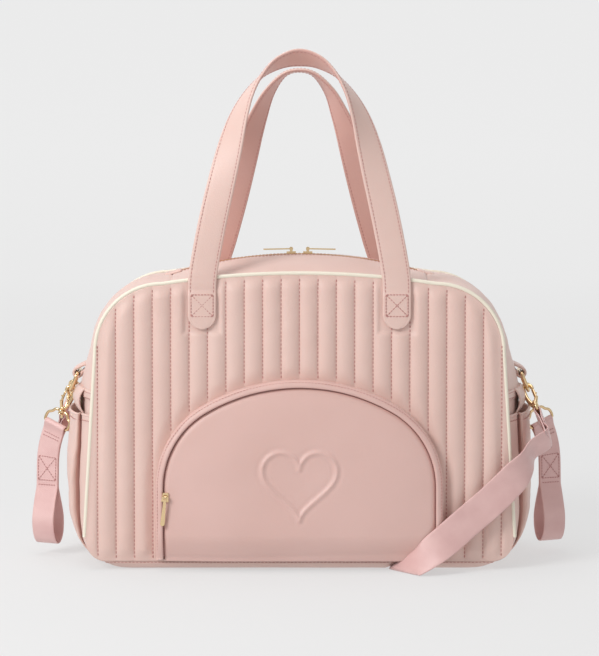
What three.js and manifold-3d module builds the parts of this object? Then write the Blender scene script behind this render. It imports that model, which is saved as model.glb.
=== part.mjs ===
// A quilted baby changing bag: an arched soft body with a zipped mouth, a half-moon front pocket,
// two side bottle pockets, two carrying handles, a webbing shoulder strap and two pram straps.
// Millimetres, +Z up, the front faces -Y. The origin is the middle of the base, on the floor.
import * as THREE from "three";
import { mergeVertices } from "three/addons/utils/BufferGeometryUtils.js";
import Module from "manifold-3d";

const wasm = await Module();
wasm.setup();

// ---- driving dimensions ----
const PANEL = {
  bottomZ: 8, // the seam between a panel and the base
  halfBottom: 203, // half the width just above the bottom corners
  halfShoulder: 192, // half the width where the shoulder arcs begin
  shoulderZ: 208,
  shoulderR: 62,
  topZ: 280,
  cornerR: 20,
  halfDepth: 85, // outer face of a panel at floor level
  thickness: 4,
};
const TAPER = 0.17; // share of the depth lost between the floor and the top seam
const GAP = 0.3; // between pieces that touch
const WALL = 2.4; // gusset leather with its foam
const SEAM_Z = 164; // where the shoulder gusset meets the side gusset
const MOUTH = { half: 122, edgeY: 76, chainHalf: 4.6, ridge: 294.5 };
const ZIP_R = 420; // radius of the mouth's arched ridge
const PIPING_R = 1.6;
const POCKET = { half: 127, baseZ: 80, cornerR: 80, cornerX: 47, topR: 174, bottomZ: 10, depth: 13 };
const BOTTLE = { half: 62, topZ: 146, bottomZ: 12, bulge: 13, wall: 2 };
const HANDLE = { halfWidth: 13.5, thick: 3, rootZ: 264, tabZ: 229, frontX: 92, rearX: 84 };
const RING = { halfWidth: 20.5, length: 19, cornerR: 10, wire: 1.7, x: 215, z: 180, tiltDeg: 22 };
const CLASP = { wire: 1.9, loopR: 4.2, gateR: 1.4, barZ: -37.5, barR: 1.5 };
const PRAM = { halfWidth: 11.8, thick: 1.6, y: 8, leanDeg: 24, turnDeg: 66 };
const STRAP = { halfWidth: 15, thick: 1.6 };

const COLOURS = {
  leather: 0xe3bdb0,
  piping: 0xece2cf,
  webbing: 0xd0a3a0,
  lining: 0xd9c7bd,
  gold: 0xd8b47a,
  board: 0xb9aea6,
};
const material = (colour, roughness, metalness) =>
  new THREE.MeshStandardMaterial({ color: colour, roughness, metalness });
const LEATHER = material(COLOURS.leather, 0.5, 0);
const PIPING = material(COLOURS.piping, 0.45, 0);
const WEBBING = material(COLOURS.webbing, 0.55, 0);
const LINING = material(COLOURS.lining, 0.9, 0);
const GOLD = material(COLOURS.gold, 0.22, 1);
const BOARD = material(COLOURS.board, 0.7, 0);

// ---- helpers ----
const V = (x, y, z) => new THREE.Vector3(x, y, z);
const mix = (a, b, t) => a + (b - a) * t;
const smooth = (a, b, t) => {
  const k = Math.min(1, Math.max(0, (t - a) / (b - a)));
  return k * k * (3 - 2 * k);
};
const rad = (deg) => (deg * Math.PI) / 180;

// The bag narrows in depth towards its top, so every body piece passes through this map.
const taper = (z) => 1 - (TAPER * z) / PANEL.topZ;
const tapered = (p) => V(p.x, p.y * taper(p.z), p.z);
function taperGeometry(geometry) {
  const at = geometry.getAttribute("position");
  for (let i = 0; i < at.count; i++) at.setY(i, at.getY(i) * taper(at.getZ(i)));
  return geometry;
}

// A closed mesh from loose triangles, turned so that its faces point out.
function closed(positions, indices) {
  const geometry = new THREE.BufferGeometry();
  geometry.setAttribute("position", new THREE.Float32BufferAttribute(positions, 3));
  geometry.setIndex(indices);
  return faceOut(geometry);
}
function faceOut(geometry) {
  const at = geometry.getAttribute("position");
  const index = geometry.index.array;
  const corner = (i) => new THREE.Vector3().fromBufferAttribute(at, index[i]);
  let volume = 0;
  for (let i = 0; i < index.length; i += 3)
    volume += corner(i).dot(corner(i + 1).cross(corner(i + 2)));
  if (volume < 0)
    for (let i = 0; i < index.length; i += 3)
      [index[i + 1], index[i + 2]] = [index[i + 2], index[i + 1]];
  return geometry;
}

// A curved sheet with thickness: outer(u, v) and inner(u, v) give its two faces, u and v from 0 to 1.
function sheet(outer, inner, nu, nv) {
  const positions = [];
  const indices = [];
  for (const face of [outer, inner])
    for (let i = 0; i <= nu; i++)
      for (let j = 0; j <= nv; j++) positions.push(...face(i / nu, j / nv).toArray());
  const size = (nu + 1) * (nv + 1);
  const id = (side, i, j) => side * size + i * (nv + 1) + j;
  const quad = (a, b, c, d) => indices.push(a, b, c, a, c, d);
  for (let i = 0; i < nu; i++)
    for (let j = 0; j < nv; j++) {
      quad(id(0, i, j), id(0, i + 1, j), id(0, i + 1, j + 1), id(0, i, j + 1));
      quad(id(1, i, j), id(1, i, j + 1), id(1, i + 1, j + 1), id(1, i + 1, j));
    }
  for (let i = 0; i < nu; i++) {
    quad(id(0, i, 0), id(1, i, 0), id(1, i + 1, 0), id(0, i + 1, 0));
    quad(id(0, i, nv), id(0, i + 1, nv), id(1, i + 1, nv), id(1, i, nv));
  }
  for (let j = 0; j < nv; j++) {
    quad(id(0, 0, j), id(0, 0, j + 1), id(1, 0, j + 1), id(1, 0, j));
    quad(id(0, nu, j), id(1, nu, j), id(1, nu, j + 1), id(0, nu, j + 1));
  }
  return closed(positions, indices);
}

// A round section swept along points, capped at its ends or joined into a ring.
function tube(points, radius, sides, ring = false) {
  const n = points.length;
  const positions = [];
  const indices = [];
  const along = points.map((p, i) => {
    const a = points[ring ? (i + n - 1) % n : Math.max(0, i - 1)];
    const b = points[ring ? (i + 1) % n : Math.min(n - 1, i + 1)];
    return b.clone().sub(a).normalize();
  });
  const start = Math.abs(along[0].z) < 0.9 ? V(0, 0, 1) : V(1, 0, 0);
  let normal = start.sub(along[0].clone().multiplyScalar(start.dot(along[0]))).normalize();
  const normals = along.map((t) => {
    normal = normal.clone().sub(t.clone().multiplyScalar(normal.dot(t))).normalize();
    return normal;
  });
  points.forEach((p, i) => {
    const r = typeof radius === "function" ? radius(i / (n - 1)) : radius;
    const side = along[i].clone().cross(normals[i]);
    for (let k = 0; k < sides; k++) {
      const a = (2 * Math.PI * k) / sides;
      const out = normals[i].clone().multiplyScalar(r * Math.cos(a));
      positions.push(...p.clone().add(out).add(side.clone().multiplyScalar(r * Math.sin(a))).toArray());
    }
  });
  const rows = ring ? n : n - 1;
  for (let i = 0; i < rows; i++)
    for (let k = 0; k < sides; k++) {
      const a = i * sides + k;
      const b = i * sides + ((k + 1) % sides);
      const c = ((i + 1) % n) * sides + ((k + 1) % sides);
      const d = ((i + 1) % n) * sides + k;
      indices.push(a, b, c, a, c, d);
    }
  if (!ring)
    for (let k = 1; k < sides - 1; k++) {
      indices.push(0, k + 1, k);
      const last = (n - 1) * sides;
      indices.push(last, last + k, last + k + 1);
    }
  return closed(positions, indices);
}

// A flat strap: centre points, the direction of its width at each, and its section. Where it folds over on the
// floor, a station gives the fold line's direction and half length instead.
function ribbon(stations, halfWidth, thick) {
  const n = stations.length - 1;
  const centre = stations.map((s) => s.at);
  const face = (side) => (u, v) => {
    const i = Math.round(u * n);
    const t = centre[Math.min(n, i + 1)].clone().sub(centre[Math.max(0, i - 1)]).normalize();
    const { fold } = stations[i];
    const w = stations[i].wide.clone();
    if (!fold) w.sub(t.clone().multiplyScalar(w.dot(t)));
    w.normalize();
    const normal = fold ? V(0, 0, -1) : t.clone().cross(w).normalize();
    const half = fold ?? halfWidth;
    return centre[i]
      .clone()
      .add(w.multiplyScalar(mix(-half, half, v)))
      .add(normal.multiplyScalar((side * thick) / 2));
  };
  return sheet(face(1), face(-1), n, 1);
}

const solidOf = (geometry) => {
  const plain = geometry.clone();
  plain.deleteAttribute("normal");
  plain.deleteAttribute("uv");
  const merged = faceOut(mergeVertices(plain, 1e-4));
  return new wasm.Manifold(
    new wasm.Mesh({
      numProp: 3,
      vertProperties: new Float32Array(merged.attributes.position.array),
      triVerts: new Uint32Array(merged.index.array),
    }),
  );
};
function indexed(geometry) {
  const plain = geometry.clone();
  plain.deleteAttribute("normal");
  plain.deleteAttribute("uv");
  const merged = mergeVertices(plain, 1e-4);
  const kept = [];
  const index = merged.index.array;
  for (let i = 0; i < index.length; i += 3) {
    const [a, b, c] = [index[i], index[i + 1], index[i + 2]];
    if (a !== b && b !== c && c !== a) kept.push(a, b, c);
  }
  merged.setIndex(kept);
  return faceOut(merged);
}
const geometryOf = (solid) => {
  const mesh = solid.getMesh();
  return closed(Array.from(mesh.vertProperties), Array.from(mesh.triVerts));
};
const joined = (...parts) => geometryOf(parts.map(solidOf).reduce((a, b) => a.add(b)));
const cut = (from, ...parts) => geometryOf(parts.map(solidOf).reduce((a, b) => a.subtract(b), solidOf(from)));

// A flat shape drawn in x and z, given a thickness in y.
function slab(shape, y0, y1, curveSegments = 8) {
  const geometry = new THREE.ExtrudeGeometry(shape, {
    depth: y1 - y0,
    bevelEnabled: false,
    curveSegments,
  });
  return indexed(geometry.rotateX(Math.PI / 2).translate(0, y1, 0));
}

const bag = new THREE.Group();
function add(name, geometry, look, parent = bag) {
  const mesh = new THREE.Mesh(geometry, look);
  mesh.name = name;
  parent.add(mesh);
  return mesh;
}

// ---- the arched outline that both panels share ----
// Points from the left bottom corner over the top to the right bottom corner, grown outwards by offset.
function archPoints(offset = 0, arcSteps = 7, topSteps = 8) {
  const right = [];
  const { halfBottom, halfShoulder, shoulderZ, shoulderR, topZ, bottomZ, cornerR } = PANEL;
  right.push(V(halfBottom + offset, 0, bottomZ + cornerR));
  for (let i = 1; i < 4; i++)
    right.push(V(mix(halfBottom, halfShoulder, i / 4) + offset, 0, mix(bottomZ + cornerR, shoulderZ, i / 4)));
  const cx = halfShoulder - shoulderR;
  for (let i = 0; i <= arcSteps; i++) {
    const a = (Math.PI / 2) * (i / arcSteps);
    right.push(V(cx + (shoulderR + offset) * Math.cos(a), 0, shoulderZ + (shoulderR + offset) * Math.sin(a)));
  }
  const rise = topZ - shoulderZ - shoulderR;
  for (let i = 1; i <= topSteps; i++) {
    const x = cx * (1 - i / topSteps);
    right.push(V(x, 0, shoulderZ + shoulderR + rise * (1 - (x / cx) ** 2) + offset));
  }
  const left = right.slice(0, -1).map((p) => V(-p.x, 0, p.z));
  return [...left, ...right.reverse()];
}

function panelShape(offset = 0) {
  const arch = archPoints(offset);
  const { halfBottom, bottomZ, cornerR } = PANEL;
  const shape = new THREE.Shape();
  const low = bottomZ - offset;
  const half = halfBottom + offset;
  shape.moveTo(-half, bottomZ + cornerR);
  arch.slice(1).forEach((p) => shape.lineTo(p.x, p.z));
  shape.quadraticCurveTo(half, low, half - cornerR, low);
  shape.lineTo(-half + cornerR, low);
  shape.quadraticCurveTo(-half, low, -half, bottomZ + cornerR);
  return shape;
}

// ---- panels, piping, lining ----
const panelInner = PANEL.halfDepth - PANEL.thickness;
for (const [name, side] of [
  ["front_panel", -1],
  ["back_panel", 1],
]) {
  const [y0, y1] = side < 0 ? [-PANEL.halfDepth, -panelInner] : [panelInner, PANEL.halfDepth];
  add(name, taperGeometry(slab(panelShape(), y0, y1, 4)), LEATHER);
  const route = archPoints(PIPING_R + GAP, 8, 8).map((p) => tapered(V(p.x, side * (PANEL.halfDepth - 2), p.z)));
  add(side < 0 ? "front_piping" : "back_piping", tube(route, PIPING_R, 6), PIPING);
}

// ---- the gusset between the panels ----
const gussetEdge = panelInner - GAP;
// A strip that follows the arch's points, swelling outwards in the middle of its depth.
function gussetStrip(points, y0, y1, wall, nv, lift = 0) {
  const n = points.length - 1;
  const normalAt = points.map((p, i) => {
    const t = points[Math.min(n, i + 1)].clone().sub(points[Math.max(0, i - 1)]);
    const normal = V(-t.z, 0, t.x).normalize();
    return normal.x * p.x + normal.z * (p.z - 60) < 0 ? normal.negate() : normal;
  });
  const face = (depth) => (u, v) => {
    const i = Math.round(u * n);
    const y = mix(y0, y1, v);
    const swell = swellAt(points[i].z) * (1 - (y / gussetEdge) ** 2);
    const p = points[i].clone().add(normalAt[i].clone().multiplyScalar(lift + swell - depth));
    return tapered(V(p.x, y, p.z));
  };
  return sheet(face(0), face(wall), n, nv);
}

const arch = archPoints(0, 7, 8);
const sideHalf = arch.filter((p) => p.x > 0);
const mirrored = (points, side) => points.map((p) => V(side * p.x, p.y, p.z));
const sideNames = [
  ["left", -1],
  ["right", 1],
];

// Where the side line reaches height z, between the bottom corner and the shoulder.
function sideX(z) {
  const { halfBottom, halfShoulder, shoulderZ, bottomZ, cornerR } = PANEL;
  return mix(halfBottom, halfShoulder, (z - bottomZ - cornerR) / (shoulderZ - bottomZ - cornerR));
}

// How far the side swells beyond the panel's edge at half depth, by height.
const SWELL = [
  [9, 1],
  [60, 6],
  [110, 13],
  [164, 19],
  [186, 15],
  [215, 8.5],
  [245, 5.5],
  [270, 4.9],
];
function swellAt(z) {
  for (let i = 1; i < SWELL.length; i++)
    if (z <= SWELL[i][0]) {
      const [[z0, s0], [z1, s1]] = [SWELL[i - 1], SWELL[i]];
      return mix(s0, s1, Math.max(0, (z - z0) / (z1 - z0)));
    }
  return SWELL[SWELL.length - 1][1];
}
// The side's outer surface: x at depth y (before the taper) and height z, below the shoulder.
const sideSurface = (y, z) => sideX(z) + swellAt(z) * (1 - (y / gussetEdge) ** 2);

for (const [name, side] of sideNames) {
  const { halfBottom, bottomZ, cornerR, shoulderZ } = PANEL;
  const lower = [V(halfBottom - 13, 0, bottomZ + 1.5), V(halfBottom - 3, 0, bottomZ + 9)];
  for (const z of [bottomZ + cornerR, 60, 95, 130, SEAM_Z - GAP]) lower.push(V(sideX(z), 0, z));
  add("side_gusset_" + name, gussetStrip(mirrored(lower, side), -gussetEdge, gussetEdge, WALL, 8), LEATHER);

  const upper = [V(sideX(SEAM_Z), 0, SEAM_Z), V(sideX(186), 0, 186)];
  sideHalf
    .filter((p) => p.z >= shoulderZ && p.x > MOUTH.half + 1)
    .reverse()
    .forEach((p) => upper.push(p.clone()));
  upper.push(V(MOUTH.half + GAP, 0, topEdge(MOUTH.half + GAP)));
  add("shoulder_gusset_" + name, gussetStrip(mirrored(upper, side), -gussetEdge, gussetEdge, WALL, 8), LEATHER);

  // The top-stitched band over the seam between the two.
  const band = [SEAM_Z - 3.5, SEAM_Z, SEAM_Z + 3.5].map((z) => V(sideX(z), 0, z));
  add("seam_band_" + name, gussetStrip(mirrored(band, side), -gussetEdge, gussetEdge, 1, 8, 1.5), LEATHER);
}

// The panel's own top edge at x, and the ridge of the mouth above it.
function topEdge(x) {
  const cx = PANEL.halfShoulder - PANEL.shoulderR;
  const rise = PANEL.topZ - PANEL.shoulderZ - PANEL.shoulderR;
  return PANEL.shoulderZ + PANEL.shoulderR + rise * (1 - Math.min(1, Math.abs(x) / cx) ** 2);
}
function ridge(x) {
  return MOUTH.ridge - (ZIP_R - Math.sqrt(ZIP_R ** 2 - x ** 2));
}

// ---- the zipped mouth: a fixed seam edge, an opening flap and half a zip on each side ----
const ridgeRise = (x, y) => topEdge(x) + (ridge(x) - topEdge(x)) * (1 - (Math.abs(y) / gussetEdge) ** 2);
function mouthStrip(side, y0, y1, wall, nu, nv, lift = 0) {
  const face = (depth) => (u, v) => {
    const x = mix(-MOUTH.half, MOUTH.half, u);
    const y = side * mix(y0, y1, v);
    const z = ridgeRise(x, y) + lift - depth;
    return V(x, y * taper(PANEL.topZ), z);
  };
  return sheet(face(0), face(wall), nu, nv);
}
for (const [name, side] of [
  ["front", -1],
  ["rear", 1],
]) {
  add("top_seam_" + name, mouthStrip(side, MOUTH.edgeY + GAP, gussetEdge, WALL, 12, 1), LEATHER);
  add("mouth_flap_" + name, mouthStrip(side, MOUTH.chainHalf + GAP, MOUTH.edgeY, WALL, 14, 6), LEATHER);
  add("zip_tape_" + name, mouthStrip(side, 0.3, MOUTH.chainHalf, 1.6, 16, 1), GOLD);
}

// ---- zip sliders and pulls ----
const PIN_Z = 4.7; // height of the pin that a pull hangs on, above the slider's base
// A slider along X with its base at z = 0, and the two lugs and the pin that its pull hangs on.
function sliderBody(length, width, height) {
  const half = length / 2;
  const outline = new THREE.Shape();
  outline.moveTo(-half, -width * 0.36);
  outline.lineTo(half, -width / 2);
  outline.lineTo(half, width / 2);
  outline.lineTo(-half, width * 0.36);
  outline.lineTo(-half, -width * 0.36);
  const body = new THREE.ExtrudeGeometry(outline, { depth: height, bevelEnabled: false });
  const lugs = [-1, 1].map((side) =>
    indexed(new THREE.BoxGeometry(2.6, 0.8, PIN_Z + 1.1 - height + 0.4).translate(0, side * 2.2, (PIN_Z + 1.1 + height - 0.4) / 2)),
  );
  return joined(indexed(body), ...lugs, tube([V(0, -2.3, PIN_Z), V(0, 2.3, PIN_Z)], 0.6, 8));
}
// A flat pull curled round the pin, lying along +X, with a bead at its end.
function pullBar(length, width, thick) {
  const side = new THREE.Shape();
  const start = Math.asin(thick / 2 / 1.9);
  side.absarc(0, 0, 1.9, start, 2 * Math.PI - start, false);
  side.lineTo(3, -thick / 2);
  side.lineTo(3, thick / 2);
  const eye = new THREE.Path();
  eye.absarc(0, 0, 0.95, 0, 2 * Math.PI, true);
  side.holes.push(eye);
  const blade = new THREE.Shape();
  blade.moveTo(2.6, -1.3);
  blade.lineTo(6, -width * 0.34);
  blade.lineTo(length - width / 2, -width / 2);
  blade.absarc(length - width / 2, 0, width / 2, -Math.PI / 2, Math.PI / 2, false);
  blade.lineTo(6, width * 0.34);
  blade.lineTo(2.6, 1.3);
  const flat = new THREE.ExtrudeGeometry(blade, { depth: thick, bevelEnabled: false, curveSegments: 6 });
  return joined(slab(side, -1.4, 1.4, 5), indexed(flat.translate(0, 0, -thick / 2))).translate(0, 0, PIN_Z);
}
for (const [name, side] of sideNames) {
  const x = side * 8;
  const place = (geometry) => {
    if (side < 0) geometry.rotateZ(Math.PI);
    return geometry.rotateY(Math.asin(x / ZIP_R)).translate(x, 0, ridge(x) + GAP + 0.15);
  };
  add("zip_slider_" + name, place(sliderBody(9, 7.6, 2.2)), GOLD);
  add("zip_pull_" + name, place(pullBar(27, 4.6, 1.2)), GOLD);
}

// ---- the half-moon front pocket ----
// Its outline from the left foot over the top to the right foot, grown outwards by offset.
function pocketArch(offset) {
  const { half, baseZ, cornerR, cornerX, topR } = POCKET;
  const right = [];
  const topZ = baseZ + cornerR * Math.sin(rad(60)) - topR * Math.sin(rad(60));
  for (const a of [0, 12, 24, 36, 48, 60])
    right.push(V(cornerX + (cornerR + offset) * Math.cos(rad(a)), 0, baseZ + (cornerR + offset) * Math.sin(rad(a))));
  for (const a of [68, 76, 84, 90])
    right.push(V((topR + offset) * Math.cos(rad(a)), 0, topZ + (topR + offset) * Math.sin(rad(a))));
  const left = right.slice(0, -1).map((p) => V(-p.x, 0, p.z));
  return [...left, ...right.reverse()];
}
const POCKET_FEET = [12, 22, 34, 48, 64];
const footPoints = (offset, side) => POCKET_FEET.map((z) => V(side * (POCKET.half + offset), 0, z));
const pocketLine = (offset) => [...footPoints(offset, -1), ...pocketArch(offset), ...footPoints(offset, 1).reverse()];
const pocketDepth = (z) => mix(2.6, POCKET.depth, smooth(8, 50, z));
const panelFace = PANEL.halfDepth + GAP;
// A strip along the outline; each profile entry is an offset, a share of the depth and an addition to it.
function pocketStrip(outer, inner) {
  const lines = [outer, inner].map((profile) =>
    profile.map(([offset, share, extra]) =>
      pocketLine(offset).map((p) => tapered(V(p.x, -(panelFace + share * pocketDepth(p.z) + extra), p.z))),
    ),
  );
  const n = lines[0][0].length - 1;
  const m = outer.length - 1;
  const face = (k) => (u, v) => lines[k][Math.round(v * m)][Math.round(u * n)].clone();
  return sheet(face(0), face(1), n, m);
}
add(
  "pocket_gusset",
  pocketStrip(
    [
      [9, 0, 0],
      [9.4, 0.55, 0],
      [8.4, 0.95, 0],
      [7, 1, 0.4],
      [5, 1, 0.4],
    ],
    [
      [7.4, 0, 0],
      [7.6, 0.5, 0],
      [7.2, 0.75, 0],
      [6.4, 0.85, 0],
      [5, 0.85, 0],
    ],
  ),
  LEATHER,
);
const chain = (a, b) =>
  pocketStrip(
    [
      [a, 1, 0.5],
      [b, 1, 0.5],
    ],
    [
      [a, 1, -0.9],
      [b, 1, -0.9],
    ],
  );
add("pocket_zip_outer", chain(0.25, 4.7), GOLD);
add("pocket_zip_inner", chain(-0.25, -4.7), GOLD);

const pocketTop = pocketArch(-5);
function pocketFront(lift) {
  const n = pocketTop.length - 1;
  return (u, v) => {
    const top = pocketTop[Math.round(u * n)];
    const z = mix(POCKET.bottomZ, top.z, v);
    const across = 1 - (top.x / (POCKET.half - 5)) ** 2;
    const up = Math.sin(Math.PI * Math.min(1, Math.max(0, v)) ** 0.8);
    const bulge = 6.5 * Math.sqrt(Math.max(0, across)) * Math.max(0, up) ** 0.7;
    return tapered(V(top.x, -(panelFace + pocketDepth(z) + bulge - lift), z));
  };
}
add("pocket_front", sheet(pocketFront(0), pocketFront(2.1), pocketTop.length - 1, 8), LEATHER);

// The pocket's slider rests low on the left, its pull hanging down.
const pocketSliderAngle = rad(186);
{
  const { cornerR, cornerX, baseZ } = POCKET;
  const at = V(-cornerX + cornerR * Math.cos(pocketSliderAngle), 0, baseZ + cornerR * Math.sin(pocketSliderAngle));
  const y = tapered(V(0, -(panelFace + pocketDepth(at.z) + 0.5 + GAP + 0.2), at.z)).y;
  const place = (geometry) =>
    geometry
      .rotateX(Math.PI / 2)
      .rotateY(Math.PI / 2 + rad(6))
      .translate(at.x, y, at.z);
  add("pocket_slider", place(sliderBody(8.5, 7, 2.2)), GOLD);
  add("pocket_pull", place(pullBar(27, 4.2, 1.2)), GOLD);
}

// ---- the side bottle pockets ----
for (const [name, side] of sideNames) {
  const face = (wall) => (u, v) => {
    const y = mix(-BOTTLE.half, BOTTLE.half, u);
    const z = mix(BOTTLE.bottomZ, BOTTLE.topZ, v);
    const along = smooth(-0.08, 0.35, v) * mix(1, 0.4, smooth(0.55, 1, v));
    const bulge = BOTTLE.bulge * Math.max(0, 1 - Math.abs(y / BOTTLE.half) ** 2.6) * along;
    const x = sideSurface(y, z) + 0.7 + bulge + wall;
    return tapered(V(side * x, y, z));
  };
  add("bottle_pocket_" + name, sheet(face(BOTTLE.wall), face(0), 12, 8), LEATHER);
}
// ---- base, stiffening board and lining ----
const baseHalfX = PANEL.halfBottom - 13 - GAP - 0.6;
const baseHalfY = PANEL.halfDepth - 0.5;
const BASE_X = [-1, -0.965, -0.9, -0.45, 0, 0.45, 0.9, 0.965, 1];
const BASE_Y = [-1, -0.95, -0.86, 0, 0.86, 0.95, 1];
function baseFace(wall) {
  return (u, v) => {
    const fx = BASE_X[Math.round(u * (BASE_X.length - 1))];
    const fy = BASE_Y[Math.round(v * (BASE_Y.length - 1))];
    const turn = (f, from) => Math.max(0, (Math.abs(f) - from) / (1 - from)) ** 2;
    const rise = Math.min(1, turn(fx, 0.9) + turn(fy, 0.86));
    return V(fx * baseHalfX, fy * baseHalfY, 5 * rise + wall * (1 - 0.35 * rise));
  };
}
// The shoulder strap runs beneath the base in a shallow groove.
const under = { x0: 99.65, y0: -88, slope: 0.15 };
const groove = new THREE.BoxGeometry(2 * STRAP.halfWidth + 2, 240, 4.6)
  .rotateZ(-Math.atan(under.slope))
  .translate(under.x0 + under.slope * -under.y0, 0, 0);
add("base_panel", cut(sheet(baseFace(0), baseFace(3.6), BASE_X.length - 1, BASE_Y.length - 1), groove), LEATHER);

function roundedRectangle(halfX, halfY, r) {
  const shape = new THREE.Shape();
  shape.moveTo(-halfX + r, -halfY);
  shape.lineTo(halfX - r, -halfY);
  shape.quadraticCurveTo(halfX, -halfY, halfX, -halfY + r);
  shape.lineTo(halfX, halfY - r);
  shape.quadraticCurveTo(halfX, halfY, halfX - r, halfY);
  shape.lineTo(-halfX + r, halfY);
  shape.quadraticCurveTo(-halfX, halfY, -halfX, halfY - r);
  shape.lineTo(-halfX, -halfY + r);
  shape.quadraticCurveTo(-halfX, -halfY, -halfX + r, -halfY);
  return shape;
}
const prism = (shape, z0, z1, steps = 1) =>
  new THREE.ExtrudeGeometry(shape, { depth: z1 - z0, bevelEnabled: false, curveSegments: 4, steps }).translate(0, 0, z0);
add("base_board", prism(roundedRectangle(172, 68, 10), 3.9, 6.1), BOARD);
const liningOuter = taperGeometry(prism(roundedRectangle(182, 79, 14), 9.3, 205));
const liningInner = taperGeometry(prism(roundedRectangle(180.8, 77.8, 13), 10.5, 220));
add("lining", cut(liningOuter, liningInner), LINING);

// ---- carrying handles ----
// Right half of each handle's centre line, from the root to the top: x, distance from the middle plane, z, and how
// far the strap has turned about its length, in degrees.
const HANDLE_LINES = {
  front: [
    [92, 73, 265.6, 0],
    [91, 72, 282, 0],
    [85.5, 69.5, 313, 3],
    [79.5, 66.5, 342, 8],
    [73, 63, 370, 16],
    [66, 58, 399, 30],
    [58.5, 53, 426, 50],
    [49, 48, 449, 72],
    [36, 43, 467, 92],
    [19, 39.5, 479.5, 114],
    [0, 38.5, 484, 126],
  ],
  rear: [
    [84, 73.6, 265.6, 0],
    [83.4, 72.6, 280, 0],
    [76, 70, 304, 4],
    [65, 66, 343, 12],
    [54, 61.5, 384, 26],
    [47, 57, 409, 39],
    [40.5, 53, 427, 52],
    [30, 47, 450, 70],
    [15.5, 41.5, 467, 84],
    [0, 40, 471.5, 87],
  ],
};
function handleStations(name, side) {
  const line = HANDLE_LINES[name];
  const half = line.map(([x, y, z, turn], i) => {
    const [a, b] = [line[Math.max(0, i - 1)], line[i + 1] ?? [-line[i - 1][0], 0, line[i - 1][2]]];
    const outward = V(b[2] - a[2], 0, a[0] - b[0]).normalize();
    if (turn === 0) outward.set(1, 0, 0);
    const wide = outward.multiplyScalar(Math.cos(rad(turn))).add(V(0, -side * Math.sin(rad(turn)), 0));
    return { at: V(x, side * y, z), wide };
  });
  const left = half
    .slice(0, -1)
    .map(({ at, wide }) => ({ at: V(-at.x, at.y, at.z), wide: V(-wide.x, wide.y, wide.z) }));
  const coarse = [...half, ...left.reverse()];
  const curve = new THREE.CatmullRomCurve3(coarse.map((s) => s.at));
  const widths = new THREE.CatmullRomCurve3(coarse.map((s) => s.wide));
  const count = 32;
  return Array.from({ length: count + 1 }, (_, i) => ({
    at: curve.getPoint(i / count),
    wide: widths.getPoint(i / count),
  }));
}
for (const [name, side, rootX] of [
  ["front", -1, HANDLE.frontX],
  ["rear", 1, HANDLE.rearX],
]) {
  add(name + "_handle", ribbon(handleStations(name, side), HANDLE.halfWidth, HANDLE.thick), LEATHER);
  for (const [end, sign] of sideNames) {
    const shape = new THREE.Shape();
    const w = HANDLE.halfWidth;
    const x = sign * rootX;
    shape.moveTo(x - w, HANDLE.rootZ);
    shape.lineTo(x - w, HANDLE.tabZ + w);
    shape.absarc(x, HANDLE.tabZ + w, w, Math.PI, 2 * Math.PI, false);
    shape.lineTo(x + w, HANDLE.rootZ);
    shape.lineTo(x - w, HANDLE.rootZ);
    const y0 = side * (panelFace + HANDLE.thick + 0.4);
    const y1 = side * panelFace;
    add(`${name}_handle_tab_${end}`, taperGeometry(slab(shape, Math.min(y0, y1), Math.max(y0, y1), 6)), LEATHER);
  }
}

// ---- side hardware: leather tab, D-ring, two clasps ----
const hardware = {};
// Carries a piece modelled hanging down -Z from its pivot onto the side, on a frame given by its down and width directions.
function hang(geometry, pivot, down, wide) {
  const z = down.clone().negate().normalize();
  const y = wide.clone().sub(z.clone().multiplyScalar(wide.dot(z))).normalize();
  const x = y.clone().cross(z);
  return geometry.applyMatrix4(new THREE.Matrix4().makeBasis(x, y, z).setPosition(pivot));
}
// Extrudes a profile drawn in x and z over a width in y.
const bar = (shape, halfWidth, curveSegments = 6) => slab(shape, -halfWidth, halfWidth, curveSegments);

function ringPath() {
  const { halfWidth: w, length: l, cornerR: r } = RING;
  const points = [];
  for (const [cy, cz, rr, from] of [
    [w - 3, -3, 3, 90],
    [w - r, -l + r, r, 0],
    [-w + r, -l + r, r, -90],
    [-w + 3, -3, 3, 180],
  ])
    for (let i = 0; i <= 4; i++) {
      const a = rad(from - (90 * i) / 4);
      points.push(V(0, cy + rr * Math.cos(a), cz + rr * Math.sin(a)));
    }
  return points;
}
function claspHook() {
  const { loopR: r, wire } = CLASP;
  const path = [V(-r, 0, -15.5), V(-r, 0, -8)];
  for (let i = 0; i <= 8; i++) {
    const a = Math.PI * (1 - i / 8);
    path.push(V(r * Math.cos(a), 0, -0.35 + r * Math.sin(a)));
  }
  path.push(V(r, 0, -2.6));
  const body = new THREE.Shape();
  [
    [-6.2, -12.8],
    [-2.2, -14.4],
    [6, -15.4],
    [3.6, -20],
    [-3.6, -20],
  ].forEach(([x, z], i) => (i ? body.lineTo(x, z) : body.moveTo(x, z)));
  body.closePath();
  const stem = new THREE.LatheGeometry(
    [
      [0, -19.5],
      [1.6, -19.5],
      [1.6, -24.6],
      [2.7, -24.9],
      [2.7, -26],
      [0, -26.4],
    ].map(([x, y]) => new THREE.Vector2(x, y)),
    10,
  ).rotateX(Math.PI / 2);
  return joined(tube(path, wire, 8), indexed(bar(body, 2.6)), indexed(stem));
}
const claspGate = () => tube([V(CLASP.loopR, 0, -13.5), V(CLASP.loopR, 0, -3)], CLASP.gateR, 8);
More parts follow.
